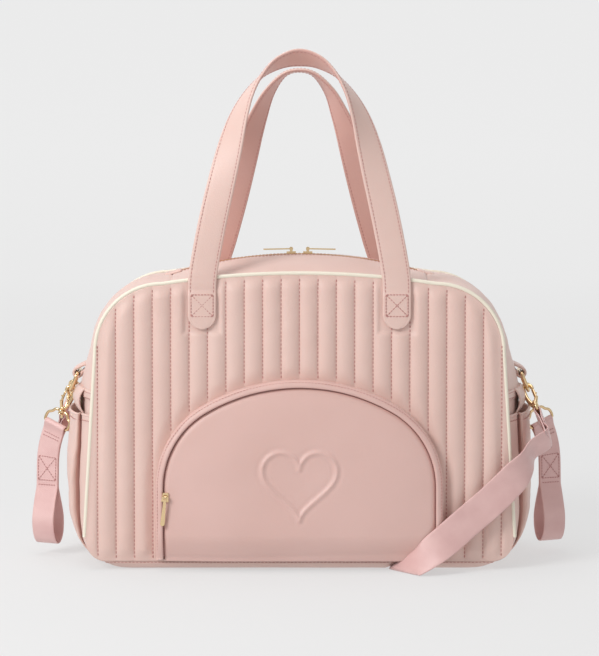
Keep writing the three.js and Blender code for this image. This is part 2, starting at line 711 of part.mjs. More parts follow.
function strapRing(halfWidth) {
  const { barZ, barR } = CLASP;
  const collar = new THREE.LatheGeometry(
    [
      [2.05, -20.4],
      [3.9, -20.4],
      [3.9, -24.2],
      [2.05, -24.2],
      [2.05, -20.4],
    ].map(([x, y]) => new THREE.Vector2(x, y)),
    12,
  ).rotateX(Math.PI / 2);
  const w = halfWidth + barR + 0.5;
  const path = [
    [3.2, -22.3],
    [7, -23.6],
    [w - 3, -27.6],
    [w, -31],
    [w, barZ + 2.2],
    [w - 2.2, barZ],
    [0, barZ],
    [2.2 - w, barZ],
    [-w, barZ + 2.2],
    [-w, -31],
    [3 - w, -27.6],
    [-7, -23.6],
    [-3.2, -22.3],
  ].map(([y, z]) => V(0, y, z));
  return joined(indexed(collar), tube(path, barR, 8));
}
// A pram strap: a loop round its ring's bar, a doubled sewn part and an open loop below, leaning outwards (+X).
function pramStrap() {
  const lean = (z) => 1.5 * smooth(-20, -75, z);
  const rightSide = [
    [3.5, 0],
    [2.9, -2.4],
    [1.65, -5],
    [1.65, -12],
    [1.65, -20],
    [1.65, -29],
    [1.65, -38],
    [1.65, -48],
    [1.65, -60],
    [3.6, -68],
    [9.2, -84],
    [11.2, -97],
    [9.8, -109],
    [5, -116.6],
    [0, -118.4],
  ];
  const shape = new THREE.Shape();
  rightSide.forEach(([x, z], i) => (i ? shape.lineTo(-x + lean(z), z) : shape.moveTo(-x + lean(z), z)));
  rightSide
    .slice(0, -1)
    .reverse()
    .forEach(([x, z]) => shape.lineTo(x + lean(z), z));
  shape.absarc(0, 0, 3.5, 0, Math.PI, false);
  const eye = new THREE.Path();
  eye.absarc(0, 0, 1.9, 0, 2 * Math.PI, true);
  const loop = new THREE.Path();
  const inner = [
    [0, -65.5],
    [2.3, -70.5],
    [7.5, -84.6],
    [9.4, -97],
    [8.1, -108],
    [4, -114.8],
    [0, -116.7],
  ];
  inner.forEach(([x, z], i) => (i ? loop.lineTo(x + lean(z), z) : loop.moveTo(x + lean(z), z)));
  inner
    .slice(1, -1)
    .reverse()
    .forEach(([x, z]) => loop.lineTo(-x + lean(z), z));
  loop.closePath();
  shape.holes.push(eye, loop);
  return bar(shape, PRAM.halfWidth);
}
// Carries a strap modelled hanging down -Z onto its bar, and lets it settle from the bar's tilt to hanging plumb.
function drape(bar, wide, plumbWide) {
  const down0 = V(0, 0, -1).add(wide.clone().multiplyScalar(wide.z)).normalize();
  const at = (z) => {
    const k = smooth(4, 46, -z);
    const down = down0.clone().lerp(V(0, 0, -1), k).normalize();
    const across = wide.clone().lerp(plumbWide, k);
    across.sub(down.clone().multiplyScalar(across.dot(down))).normalize();
    return { down, across, out: across.clone().cross(down.clone().negate()).normalize() };
  };
  return (x, y, z) => {
    const p = bar.clone();
    const steps = Math.max(1, Math.ceil(-z));
    if (z > 0) p.add(down0.clone().multiplyScalar(-z));
    else for (let i = 0; i < steps; i++) p.add(at((z * (i + 0.5)) / steps).down.multiplyScalar(-z / steps));
    const { across, out } = at(Math.min(z, 0));
    return p.add(out.multiplyScalar(x)).add(across.multiplyScalar(y));
  };
}
// The folded end of the shoulder strap round its ring's bar.
function strapEye(length) {
  const shape = new THREE.Shape();
  shape.absarc(0, 0, 3.5, rad(-25), rad(205), false);
  shape.lineTo(-1.6, -5.5);
  shape.lineTo(-1.6, -length);
  shape.lineTo(1.6, -length);
  shape.lineTo(1.6, -5.5);
  const eye = new THREE.Path();
  eye.absarc(0, 0, 1.9, 0, 2 * Math.PI, true);
  shape.holes.push(eye);
  return bar(shape, STRAP.halfWidth);
}

for (const [name, side] of sideNames) {
  const pivot = V(side * RING.x, 0, RING.z);
  const down = V(side * Math.sin(rad(RING.tiltDeg)), 0, -Math.cos(rad(RING.tiltDeg)));
  // The left side is the right side turned half a turn about Z.
  const across = V(0, side, 0);
  const outline = new THREE.Shape();
  const skin = (z, out) => sideSurface(0, z) + 0.5 + out;
  outline.moveTo(skin(199, 3), 199);
  outline.lineTo(skin(199, 0), 199);
  for (const z of [194, 188]) outline.lineTo(skin(z, 0), z);
  outline.absarc(RING.x, RING.z, RING.wire + 2.5, rad(150), rad(395), false);
  for (const z of [188, 194]) outline.lineTo(skin(z, 3), z);
  const eye = new THREE.Path();
  eye.absarc(RING.x, RING.z, RING.wire + 0.35, 0, 2 * Math.PI, true);
  outline.holes.push(eye);
  const tab = bar(outline, 14, 8);
  if (side < 0) tab.rotateZ(Math.PI);
  add("ring_tab_" + name, tab, LEATHER);

  add("d_ring_" + name, hang(tube(ringPath(), RING.wire, 8, true), pivot, down, across), GOLD);

  // Where the two clasps hook on: one on the ring's lower bar, one in its rounded corner.
  const { halfWidth: w, length: l, cornerR: r } = RING;
  const pramAt = pivot.clone().add(down.clone().multiplyScalar(l)).add(across.clone().multiplyScalar(PRAM.y));
  const pramDown = V(side * Math.sin(rad(PRAM.leanDeg)), 0, -Math.cos(rad(PRAM.leanDeg)));
  add("pram_clasp_" + name, hang(claspHook(), pramAt, pramDown, across), GOLD);
  add("pram_gate_" + name, hang(claspGate(), pramAt, pramDown, across), GOLD);
  // The strap hangs turned a little about its swivel, its outer face towards the front.
  const turned = V(Math.sin(rad(PRAM.turnDeg)), side * Math.cos(rad(PRAM.turnDeg)), 0);
  add("pram_ring_" + name, hang(strapRing(PRAM.halfWidth), pramAt, pramDown, turned), GOLD);
  const pramBar = pramAt.clone().add(pramDown.clone().multiplyScalar(-CLASP.barZ));
  const barDir = turned.clone().sub(pramDown.clone().multiplyScalar(turned.dot(pramDown))).normalize();
  const settle = drape(pramBar, barDir, turned);
  const pramWebbing = pramStrap();
  const vertices = pramWebbing.getAttribute("position");
  for (let i = 0; i < vertices.count; i++)
    vertices.setXYZ(i, ...settle(vertices.getX(i), vertices.getY(i), vertices.getZ(i)).toArray());
  add("pram_strap_" + name, pramWebbing, WEBBING);

  const c = Math.SQRT1_2;
  const corner = pivot
    .clone()
    .add(down.clone().multiplyScalar(l - r + r * c))
    .add(across.clone().multiplyScalar(-(w - r + r * c)));
  const pull = across.clone().multiplyScalar(-c).add(down.clone().multiplyScalar(c));
  const wide = across.clone().multiplyScalar(c).add(down.clone().multiplyScalar(c));
  add("shoulder_clasp_" + name, hang(claspHook(), corner, pull, wide), GOLD);
  add("shoulder_gate_" + name, hang(claspGate(), corner, pull, wide), GOLD);
  add("shoulder_ring_" + name, hang(strapRing(STRAP.halfWidth), corner, pull, wide), GOLD);
  const shoulderBar = corner.clone().add(pull.clone().multiplyScalar(-CLASP.barZ));
  add("strap_end_" + name, hang(strapEye(16), shoulderBar, pull, wide), WEBBING);
  hardware[name] = { barDir, turned, loopCentre: settle(1.5, 0, -97), pivot, down, across, pramAt, pramDown, pramBar, corner, pull, wide, shoulderBar };
}

// ---- the shoulder strap: from the right clasp round the front, under the bag and up the back to the left clasp ----
const { right: R, left: L } = hardware;
const leave = (h, d) => h.shoulderBar.clone().add(h.pull.clone().multiplyScalar(d));
const BACK_RUN = { from: V(64, 93, 26), to: V(-150, 89, 76) };
const backDir = BACK_RUN.to.clone().sub(BACK_RUN.from).normalize();
const backWide = V(-backDir.z, 0, backDir.x).negate().normalize();
const STRAP_LINE = [
  [leave(R, 16.8), R.wide],
  [leave(R, 26), R.wide],
  [V(222, -72, 114), V(0.25, 0.6, -0.75)],
  [V(215.5, -83, 103.5), V(0.45, 0.42, -0.78)],
  [V(206, -90, 92.5), V(0.58, 0.2, -0.79)],
  [V(193, -92.5, 79), V(0.62, 0.05, -0.78)],
  [V(178, -94.5, 65), V(0.63, 0, -0.77)],
  [V(160, -97, 50), V(0.63, 0, -0.77)],
  [V(141, -102, 34), V(0.6, -0.15, -0.78)],
  [V(125, -107, 22), V(0.42, -0.5, -0.75)],
  [V(111, -106, 11), V(0.25, -0.74, -0.6)],
  [V(98, -99, 1.2), V(0.636, -0.772, 0), 20.2],
  [V(101.2, -78, 1.15), V(0.99, -0.15, 0)],
  [V(106.1, -45, 1.1), V(0.99, -0.15, 0)],
  [V(112.9, 0, 1.1), V(0.99, -0.15, 0)],
  [V(119.6, 45, 1.1), V(0.99, -0.15, 0)],
  [V(125.2, 82, 1.15), V(0.99, -0.15, 0)],
  [V(128.5, 104, 1.2), V(0.708, -0.706, 0), 18.6],
  [V(111, 101.5, 8.5), V(0.2, -0.88, 0.42)],
  [V(91, 97.5, 17.5), V(0.25, -0.5, 0.83)],
  [BACK_RUN.from, backWide],
  [BACK_RUN.from.clone().lerp(BACK_RUN.to, 0.33), backWide],
  [BACK_RUN.from.clone().lerp(BACK_RUN.to, 0.67), backWide],
  [BACK_RUN.to, backWide],
  [V(-172, 88, 82.5), V(0.3, -0.05, 0.95)],
  [V(-192, 87.5, 90), V(0.42, -0.12, 0.9)],
  [V(-206.5, 88, 98), V(0.48, -0.25, 0.83)],
  [V(-216, 81.5, 106.5), V(0.4, -0.5, 0.78)],
  [V(-222, 71, 116.5), V(0.28, -0.62, 0.72)],
  [leave(L, 26), L.wide.clone().negate()],
  [leave(L, 16.8), L.wide.clone().negate()],
];
const strapStations = STRAP_LINE.map(([at, wide, fold]) => ({ at, wide, fold }));
add("shoulder_strap", ribbon(strapStations, STRAP.halfWidth, STRAP.thick), WEBBING);

// A sliding keeper on the straight run behind the bag.
{
  const middle = BACK_RUN.from.clone().lerp(BACK_RUN.to, 0.3);
  const frame = new THREE.BoxGeometry(9, 2 * STRAP.halfWidth + 5.6, 5.2);
  const slot = new THREE.BoxGeometry(12, 2 * STRAP.halfWidth + 1, STRAP.thick + 0.9);
  const keeper = cut(indexed(frame), indexed(slot));
  const normal = backDir.clone().cross(backWide).normalize();
  keeper.applyMatrix4(new THREE.Matrix4().makeBasis(backDir, backWide, normal).setPosition(middle));
  add("strap_keeper", keeper, GOLD);
}

export default bag;
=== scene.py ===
"""A quilted baby changing bag round its CAD frame. Lengths are in millimetres until a mesh is made."""

import math

import bpy
import numpy as np
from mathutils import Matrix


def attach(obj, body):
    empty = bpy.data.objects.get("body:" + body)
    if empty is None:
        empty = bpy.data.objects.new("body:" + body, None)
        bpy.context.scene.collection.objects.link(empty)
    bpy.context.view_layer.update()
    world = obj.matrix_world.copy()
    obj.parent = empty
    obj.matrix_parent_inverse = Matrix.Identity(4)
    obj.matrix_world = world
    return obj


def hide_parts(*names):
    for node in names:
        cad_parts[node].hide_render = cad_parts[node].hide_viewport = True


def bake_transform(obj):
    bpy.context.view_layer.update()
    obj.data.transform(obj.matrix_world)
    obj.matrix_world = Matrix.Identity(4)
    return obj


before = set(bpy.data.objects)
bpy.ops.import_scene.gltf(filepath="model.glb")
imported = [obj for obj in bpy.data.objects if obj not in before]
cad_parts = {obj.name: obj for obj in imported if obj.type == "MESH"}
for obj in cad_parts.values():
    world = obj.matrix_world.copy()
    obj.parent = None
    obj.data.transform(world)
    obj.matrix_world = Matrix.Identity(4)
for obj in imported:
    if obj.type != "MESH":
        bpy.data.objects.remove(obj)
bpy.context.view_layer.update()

# ---- the shape that the CAD and this scene share ----
# The bag narrows by TAPER from the floor to TOP_Z.
TOP_Z, TAPER = 280.0, 0.17
TOP_SCALE = 1 - TAPER
# The panels' outline, right half: a foot corner, a leaning side, a round shoulder and a shallow arch.
FOOT_X, FOOT_Z, FOOT_R = 183, 28, 20
SIDE_X, SHOULDER_X, SHOULDER_Z, SHOULDER_R = 203, 192, 208, 62
ARCH_X, ARCH_Z, ARCH_RISE = 130, 270, 10
BOTTOM_Z = 8.0
# The panels' faces at the floor, before the quilting, and the width and height of its channels.
PANEL_Y, PANEL_BACK_Y = 84.6, 81.6
CHANNEL, QUILT_HEIGHT = 17.4, 3.7
# The handles' tabs: where they are sewn on, their feet's height and half their width.
TAB_X = {"front": 92, "back": 84, "rear": 84}
TAB_FOOT, TAB_HALF, TAB_Y = 229.0, 13.5, 88.3
# The sides swell out between the panels by SWELL at the heights SWELL_Z.
GUSSET_EDGE = 80.7
SWELL_Z = [9, 60, 110, 164, 186, 215, 245, 270, 300]
SWELL = [1, 6, 13, 19, 15, 8.5, 5.5, 4.9, 4.9]
SEAM_Z = 164.0
# The zip runs along an arc over the top, between the ends of the mouth.
ZIP_R, RIDGE, MOUTH_HALF = 420.0, 294.5, 122.0
# The front pocket: straight sides, round corners to POCKET_TURN degrees, and a flatter arc over the top.
POCKET_X, CORNER_X, CORNER_Z, CORNER_R, POCKET_TURN = 127, 47, 80, 80, 60
ARC_R = 174.0
ARC_Z = CORNER_Z + (CORNER_R - ARC_R) * math.sin(math.radians(POCKET_TURN))
SIDES = (("left", -1), ("right", 1))
# The hardware's pivots and directions on the right; the left is the same, half a turn round.
HARDWARE = {
    "pivot": (215, 0, 180),
    "down": (0.3746, 0, -0.9272),
    "across": (0, 1, 0),
    "pramAt": (222.1175, 8, 162.3835),
    "pramDown": (0.4067, 0, -0.9135),
    "corner": (221.0203, -17.5711, 165.0992),
    "pull": (0.2649, -0.7071, -0.6556),
    "wide": (0.2649, 0.7071, -0.6556),
    "shoulderBar": (230.9536, -44.0876, 140.5135),
}


def taper(z):
    return 1 - TAPER * np.asarray(z, float) / TOP_Z


def smooth(a, b, t):
    k = np.clip((np.asarray(t, float) - a) / (b - a), 0, 1)
    return k * k * (3 - 2 * k)


def swell_at(z):
    z = np.asarray(z, float)
    return sum(np.interp(z + d, SWELL_Z, SWELL) for d in (-12, -6, 0, 6, 12)) / 5


def unit(v):
    v = np.asarray(v, float)
    return v / np.linalg.norm(v, axis=-1, keepdims=True)


def value_noise(x, y, seed=0):
    """Smooth noise from -1 to 1 over two coordinates."""
    x, y = np.asarray(x, float), np.asarray(y, float)
    xi, yi = np.floor(x).astype(np.int64), np.floor(y).astype(np.int64)
    fx, fy = x - xi, y - yi
    fx, fy = fx * fx * (3 - 2 * fx), fy * fy * (3 - 2 * fy)

    def hashed(a, b):
        h = (a * 374761393 + b * 668265263 + seed * 2147483647) & 0xFFFFFFFF
        h = ((h ^ (h >> 13)) * 1274126177) & 0xFFFFFFFF
        return ((h ^ (h >> 16)) & 0xFFFF) / 32767.5 - 1

    low = hashed(xi, yi) * (1 - fx) + hashed(xi + 1, yi) * fx
    high = hashed(xi, yi + 1) * (1 - fx) + hashed(xi + 1, yi + 1) * fx
    return low * (1 - fy) + high * fy


def fractal(x, y, seed=0, octaves=3):
    return sum(value_noise(x * 2**k, y * 2**k, seed + 11 * k) / 2**k for k in range(octaves))


# ---- materials ----
class Look:
    """A material on the Principled shader; its textures all read the same coordinates."""

    def __init__(self, name, inputs, space="Object"):
        self.mat = bpy.data.materials.new(name)
        self.mat.use_nodes = True
        self.nodes, self.links = self.mat.node_tree.nodes, self.mat.node_tree.links
        self.bsdf, self.space, self.place = self.nodes["Principled BSDF"], space, None
        for key, value in inputs.items():
            self.bsdf.inputs[key].default_value = value

    def node(self, kind, **values):
        node = self.nodes.new(kind)
        for key, value in values.items():
            if key in node.inputs:
                node.inputs[key].default_value = value
            else:
                setattr(node, key, value)
        return node

    def texture(self, kind, output="Fac", **values):
        if self.place is None:
            self.place = self.node("ShaderNodeTexCoord").outputs[self.space]
        node = self.node("ShaderNodeTex" + kind, **values)
        self.links.new(self.place, node.inputs["Vector"])
        return node.outputs[output]

    def tones(self, factor, *stops):
        """The base colour, from one (position, colour) stop to the other."""
        ramp = self.node("ShaderNodeValToRGB")
        for element, (position, colour) in zip(ramp.color_ramp.elements, stops):
            element.position, element.color = position, (*colour, 1)
        self.links.new(factor, ramp.inputs["Fac"])
        self.links.new(ramp.outputs["Color"], self.bsdf.inputs["Base Color"])

    def relief(self, *layers):
        """Bumps laid over each other; each has a height, a strength and a distance in metres."""
        normal = None
        for height, strength, distance in layers:
            bump = self.node("ShaderNodeBump", Strength=strength, Distance=distance)
            self.links.new(height, bump.inputs["Height"])
            if normal is not None:
                self.links.new(normal, bump.inputs["Normal"])
            normal = bump.outputs["Normal"]
        self.links.new(normal, self.bsdf.inputs["Normal"])


def leather(name, colour, deep, roughness=0.47, grain=0.16):
    """Soft faux leather: a fine pebble grain, faint creases and a slight drift of colour."""
    inputs = {"Roughness": roughness, "Specular IOR Level": 0.42, "Sheen Weight": 0.12}
    inputs |= {"Sheen Roughness": 0.5, "Subsurface Weight": 0.06, "Subsurface Radius": (0.002, 0.001, 0.0007)}
    look = Look(name, inputs)
    look.tones(look.texture("Noise", Scale=9.0, Detail=3.0), (0.3, deep), (0.62, colour))
    look.relief(
        (look.texture("Voronoi", "Distance", Scale=950.0), grain, 0.0004),
        (look.texture("Noise", Scale=420.0, Detail=4.0), grain * 1.1, 0.0006),
        (look.texture("Noise", Scale=60.0, Detail=5.0), grain * 0.8, 0.0015),
    )
    return look.mat


def webbing(name, colour, deep):
    """Satin webbing: fine ribs across it, slanting ribs and a soft shine. UVs are in centimetres."""
    inputs = {"Roughness": 0.36, "Specular IOR Level": 0.65, "Sheen Weight": 0.45, "Sheen Roughness": 0.35}
    look = Look(name, inputs, "UV")
    look.tones(look.texture("Noise", Scale=0.5, Detail=2.0), (0.35, deep), (0.65, colour))
    look.relief(
        (look.texture("Wave", Scale=5.2, Distortion=0.5, Detail=1.0, bands_direction="X"), 0.35, 0.00025),
        (look.texture("Wave", Scale=3.4, Distortion=0.3, bands_direction="DIAGONAL"), 0.3, 0.0002),
    )
    return look.mat


def plain(name, colour, roughness, metallic=0.0, grain=0.0):
    look = Look(name, {"Base Color": (*colour, 1), "Roughness": roughness, "Metallic": metallic})
    if grain:
        look.relief((look.texture("Noise", Scale=600.0, Detail=3.0), grain, 0.0003))
    return look.mat


LEATHER = leather("rose_leather", (0.735, 0.525, 0.465), (0.705, 0.49, 0.432))
POCKET_LEATHER = leather("rose_leather_smooth", (0.70, 0.465, 0.42), (0.67, 0.437, 0.39), 0.44, 0.11)
# A darker, redder copy of the leather: painted shade for the handles' undersides and the bottle pocket's
# pleat.
SHADE_LEATHER = leather("rose_leather_painted_shade", (0.66, 0.395, 0.345), (0.62, 0.36, 0.31), 0.5, 0.12)
WEBBING = webbing("rose_webbing", (0.74, 0.475, 0.45), (0.69, 0.425, 0.405))
PIPING = plain("cream_piping", (0.83, 0.77, 0.64), 0.42, grain=0.05)
THREAD = plain("rose_thread", (0.52, 0.25, 0.225), 0.6)
WEB_THREAD = plain("webbing_thread", (0.5, 0.24, 0.225), 0.6)
GOLD = plain("pale_gold", (0.83, 0.62, 0.36), 0.2, 1.0)
TAPE = plain("zip_tape", (0.42, 0.2, 0.18), 0.75, grain=0.2)
# Near black, for painted shade in the front pocket's zip cleft.
CLEFT_SHADE = plain("zip_shadow", (0.12, 0.045, 0.04), 0.8)
LINING = plain("woven_lining", (0.66, 0.52, 0.45), 0.85, grain=0.25)
BOARD = plain("stiffener", (0.4, 0.36, 0.33), 0.7)


# ---- lines ----
def travel(points):
    """The distance along a line to each of its points."""
    return np.concatenate([[0], np.cumsum(np.linalg.norm(np.diff(points, axis=0), axis=1))])


def resample(points, step):
    points = np.asarray(points, float)
    length = travel(points)
    at = np.linspace(0, length[-1], max(2, int(round(length[-1] / step)) + 1))
    return np.stack([np.interp(at, length, points[:, k]) for k in range(points.shape[1])], 1)


def spline(points, per=8, closed=False):
    """Catmull-Rom through the rows of points."""
    p = np.asarray(points, float)
    ends = [p[-1:], p[:2]] if closed else [2 * p[:1] - p[1:2], 2 * p[-1:] - p[-2:-1]]
    p = np.concatenate([ends[0], p, ends[1]])
    out = []
    for i in range(len(p) - 3):
        a, b, c, d = p[i : i + 4]
        for k in range(per):
            t = k / per
            bend = (2 * a - 5 * b + 4 * c - d) * t * t + (3 * b - a - 3 * c + d) * t**3
            out.append(0.5 * (2 * b + (c - a) * t + bend))
    if not closed:
        out.append(p[-2])
    return np.array(out)


def arc(cx, cy, radius, start, stop, count):
    """Points on part of a circle; the angles are in degrees."""
    a = np.radians(np.linspace(start, stop, count))
    return np.stack([cx + radius * np.cos(a), cy + radius * np.sin(a)], 1)


def mirrored(right, signs):
    """The whole line from left to right, from its right half, which ends in the middle."""
    return np.concatenate([right[:-1] * signs, right[::-1]])


def tangents(points, ring=False):
    if ring:
        return unit(np.roll(points, -1, 0) - np.roll(points, 1, 0))
    t = np.empty_like(points)
    t[1:-1] = points[2:] - points[:-2]
    t[0], t[-1] = points[1] - points[0], points[-1] - points[-2]
    return unit(t)


def line_normals(line):
    """Unit normals to the right of a line of (x, z) points."""
    t = np.gradient(line, axis=0)
    return unit(np.stack([t[:, 1], -t[:, 0]], 1))


# ---- meshes ----
def new_mesh(name, verts, faces, mat, uv=None, flat=False):
    mesh = bpy.data.meshes.new(name)
    mesh.from_pydata((np.asarray(verts, float).reshape(-1, 3) * 0.001).tolist(), [], faces)
    if uv is not None:
        layer = mesh.uv_layers.new(name="along")
        index = np.empty(len(mesh.loops), np.int32)
        mesh.loops.foreach_get("vertex_index", index)
        layer.data.foreach_set("uv", np.asarray(uv, float).reshape(-1, 2)[index].ravel())
    mesh.materials.append(mat)
    mesh.update()
    if not flat:
        mesh.shade_smooth()
    obj = bpy.data.objects.new(name, mesh)
    bpy.context.scene.collection.objects.link(obj)
    return obj


def finished(obj, slot, body, *nodes):
    """Hangs a piece on its body and hides the CAD nodes that it replaces; the slot is not used."""
    if nodes:
        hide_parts(*nodes)
    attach(obj, body)
    return obj


def quads(nu, nv, wrap_u=False, wrap_v=False, start=0, flip=False):
    i = np.arange(nu if wrap_u else nu - 1)[:, None]
    j = np.arange(nv if wrap_v else nv - 1)[None, :]
    i2, j2 = (i + 1) % nu, (j + 1) % nv
    faces = np.stack([i * nv + j, i2 * nv + j, i2 * nv + j2, i * nv + j2], -1).reshape(-1, 4) + start
    return (faces[:, ::-1] if flip else faces).tolist()


def capped(count, around):
    """Faces through a row of rings, with a face over each end."""
    ends = [list(range(around))[::-1], [(count - 1) * around + k for k in range(around)]]
    return quads(count, around, wrap_v=True) + ends


def shell(name, outer, inner, mat, uv=None, flip=False):
    """A closed sheet between two grids of points."""
    nu, nv = outer.shape[:2]
    size = nu * nv
    faces = quads(nu, nv, flip=flip) + quads(nu, nv, start=size, flip=not flip)
    edges = (
        [(i, 0) for i in range(nu)],
        [(nu - 1, j) for j in range(nv)],
        [(i, nv - 1) for i in range(nu)][::-1],
        [(0, j) for j in range(nv)][::-1],
    )
    for edge in edges:
        for (i, j), (k, m) in zip(edge, edge[1:]):
            quad = [k * nv + m, i * nv + j, size + i * nv + j, size + k * nv + m]
            faces.append(quad[::-1] if flip else quad)
    both_uv = None if uv is None else np.concatenate([uv.reshape(-1, 2)] * 2)
    return new_mesh(name, np.concatenate([outer.reshape(-1, 3), inner.reshape(-1, 3)]), faces, mat, both_uv)


def tube_data(points, radius, sides=12, ring=False):
    points = np.asarray(points, float)
    n = len(points)
    radius = np.broadcast_to(np.asarray(radius, float), (n,))
    t = tangents(points, ring)
    normal = np.array([0, 0, 1.0]) if abs(t[0][2]) < 0.9 else np.array([1.0, 0, 0])
    a = np.arange(sides) * 2 * math.pi / sides
    rows = []
    for k in range(n):
        normal = unit(normal - t[k] * normal.dot(t[k]))
        side = np.cross(t[k], normal)
        rows.append(points[k] + radius[k] * (np.cos(a)[:, None] * normal + np.sin(a)[:, None] * side))
    return np.concatenate(rows), quads(n, sides, True, True) if ring else capped(n, sides)


def lathe_data(profile, sides=24):
    """A shape of revolution about Z; the profile holds radius and height pairs."""
    profile = np.asarray(profile, float)
    a = np.arange(sides) * 2 * math.pi / sides
    heights = np.repeat(profile[:, 1:], sides, 1)
    verts = np.stack([profile[:, :1] * np.cos(a), profile[:, :1] * np.sin(a), heights], -1)
    return verts.reshape(-1, 3), quads(len(profile), sides, wrap_v=True)


def carried(line, wide, out, section, scale=1.0):
    """A closed section of (across, out) pairs carried along a line."""
    across = section[None, :, :1] * np.reshape(scale, (-1, 1, 1))
    return line[:, None] + wide[:, None] * across + out[:, None] * section[None, :, 1:]


class Pile:
    """Gathers many small closed shapes into one mesh."""

    def __init__(self):
        self.verts, self.faces, self.count = [], [], 0

    def add(self, verts, faces):
        self.verts.append(np.asarray(verts, float))
        self.faces += [[i + self.count for i in face] for face in faces]
        self.count += len(verts)

    def placed(self, at, data):
        """Adds (vertices, faces) that the function at has carried into place."""
        self.add(at(data[0]), data[1])

    def box(self, centre, axes, halves):
        corners = np.array([[x, y, z] for x in (-1, 1) for y in (-1, 1) for z in (-1, 1)], float) * halves
        faces = [[0, 1, 3, 2], [4, 6, 7, 5], [0, 4, 5, 1], [2, 3, 7, 6], [0, 2, 6, 4], [1, 5, 7, 3]]
        self.add(np.asarray(centre) + corners @ np.asarray(axes), faces)

    def stitch(self, middle, half, thin, thick, shoulder=0.7):
        """One short thread that sinks in at both ends."""
        line = [middle - half, middle - half * shoulder, middle + half * shoulder, middle + half]
        self.add(*tube_data(line, [thin, thick, thick, thin], sides=5))

    def stitches(self, points, pitch=3.5, length=2.4, radius=0.36):
        """Short threads along a line."""
        line = resample(points, pitch)
        for a, b in zip(line[:-1], line[1:]):
            self.stitch((a + b) / 2, (b - a) / 2 * (length / pitch), radius * 0.35, radius)

    def object(self, name, mat, flat=False):
        return new_mesh(name, np.concatenate(self.verts), self.faces, mat, flat=flat)


def boxed_cross(corners):
    """The lines of a sewn box with a cross in it."""
    return [(corners[a], corners[b]) for a, b in ((0, 1), (1, 2), (2, 3), (3, 0), (0, 2), (1, 3))]


# ---- the outline of the panels ----
def edge_x(z):
    """The leaning side of the outline."""
    return SIDE_X - (SIDE_X - SHOULDER_X) * (z - FOOT_Z) / (SHOULDER_Z - FOOT_Z)


def top_of(x):
    x = np.abs(np.asarray(x, float))
    arch = ARCH_Z + ARCH_RISE * (1 - np.clip(x / ARCH_X, 0, 1) ** 2)
    bend = np.clip(SHOULDER_R**2 - np.clip(x - ARCH_X, 0, SHOULDER_R) ** 2, 0, None)
    flank = SHOULDER_Z - (x - SHOULDER_X) / (SIDE_X - SHOULDER_X) * (SHOULDER_Z - FOOT_Z)
    return np.where(x <= ARCH_X, arch, np.where(x <= SHOULDER_X, SHOULDER_Z + np.sqrt(bend), flank))


def foot_of(x):
    x = np.abs(np.asarray(x, float))
    bend = np.clip(FOOT_R**2 - (x - FOOT_X) ** 2, 0, None)
    return np.where(x <= FOOT_X, BOTTOM_Z, FOOT_Z - np.sqrt(bend))


CORNER_COUNT = 10


def half_outline():
    """x, z from the bottom corner up the right side and over to the middle of the top."""
    corner = arc(FOOT_X, FOOT_Z, FOOT_R, -72, 0, CORNER_COUNT)
    k = np.linspace(0, 1, 60)[1:]
    side = np.stack([SIDE_X - (SIDE_X - SHOULDER_X) * k, FOOT_Z + (SHOULDER_Z - FOOT_Z) * k], 1)
    shoulder = arc(ARCH_X, SHOULDER_Z, SHOULDER_R, 0, 90, 46)[1:]
    x = np.linspace(ARCH_X, 0, 60)[1:]
    return np.concatenate([corner, side, shoulder, np.stack([x, top_of(x)], 1)])


OUTLINE = half_outline()


def edge_distance(x, z):
    """Distance from points of the panel to its outline, roughly."""
    x, best = np.abs(x), z - BOTTOM_Z
    for px, pz in resample(OUTLINE, 2.5):
        best = np.minimum(best, np.hypot(x - px, z - pz))
    return best


# ---- the front pocket's outline ----
def pocket_inside(x, z):
    """Signed distance inside the pocket's outline: positive within it."""
    x, z = np.abs(np.asarray(x, float)), np.asarray(z, float)
    corner = CORNER_R - np.hypot(x - CORNER_X, z - CORNER_Z)
    top = ARC_R - np.hypot(x, z - ARC_Z)
    angle = np.degrees(np.arctan2(z - CORNER_Z, x - CORNER_X))
    upper = np.where((angle < POCKET_TURN) & (x > CORNER_X), corner, top)
    return np.where(z < CORNER_Z, POCKET_X - x, upper)


def pocket_line(offset, step=2.5, low=11.0):
    """Points of the pocket's outline from the left foot over the top to the right foot."""
    side = [[POCKET_X + offset, z] for z in np.arange(low, CORNER_Z, 3)]
    corner = arc(CORNER_X, CORNER_Z, CORNER_R + offset, 0, POCKET_TURN, 40)
    top = arc(0, ARC_Z, ARC_R + offset, POCKET_TURN, 90, 36)[1:]
    return resample(mirrored(np.concatenate([side, corner, top]), [-1, 1]), step)


def pocket_depth(z):
    return 2.6 + (13 - 2.6) * smooth(2, 36, z)


# ---- quilted panels ----
def puff(x, z, tag):
    """How far the quilting stands out of the panel's plane."""
    turn = np.abs(x) / CHANNEL
    share = turn - np.floor(turn)
    crest = np.sin(math.pi * share) ** 0.7
    channel = np.floor(x / CHANNEL)
    swing = 1 + 0.1 * fractal(z / 38, channel * 3.7, 3) + 0.05 * fractal(z / 11, channel * 5.1, 5)
    edge = edge_distance(x, z)
    height = QUILT_HEIGHT * swing * (0.12 + 0.88 * smooth(0, 13, edge))
    if tag == "front":
        height = height * (0.25 + 0.75 * smooth(7, 22, -pocket_inside(x, z)))
    # It lies flatter under the handles' tabs.
    beyond = np.abs(np.abs(x) - TAB_X[tag]) - (TAB_HALF + 2)
    pressed = np.maximum(0.22, np.maximum(smooth(-2, 5, beyond), smooth(0, 7, TAB_FOOT - z)))
    height = np.where((beyond < 5) & (z > TAB_FOOT - 6), height * pressed, height)
    pucker = 0.22 * (1 - np.abs(2 * share - 1)) ** 0.3 * value_noise(x / 2.1, z / 3.4, 9) * (1 - crest)
    body = 2.2 * (1 - (x / 205) ** 2) * np.sin(math.pi * np.clip((z - BOTTOM_Z) / 268, 0, 1)) ** 0.7
    dent = 0.5 * fractal(x / 60, z / 45, 21)
    return height * crest + pucker + body + dent * smooth(0, 20, edge)


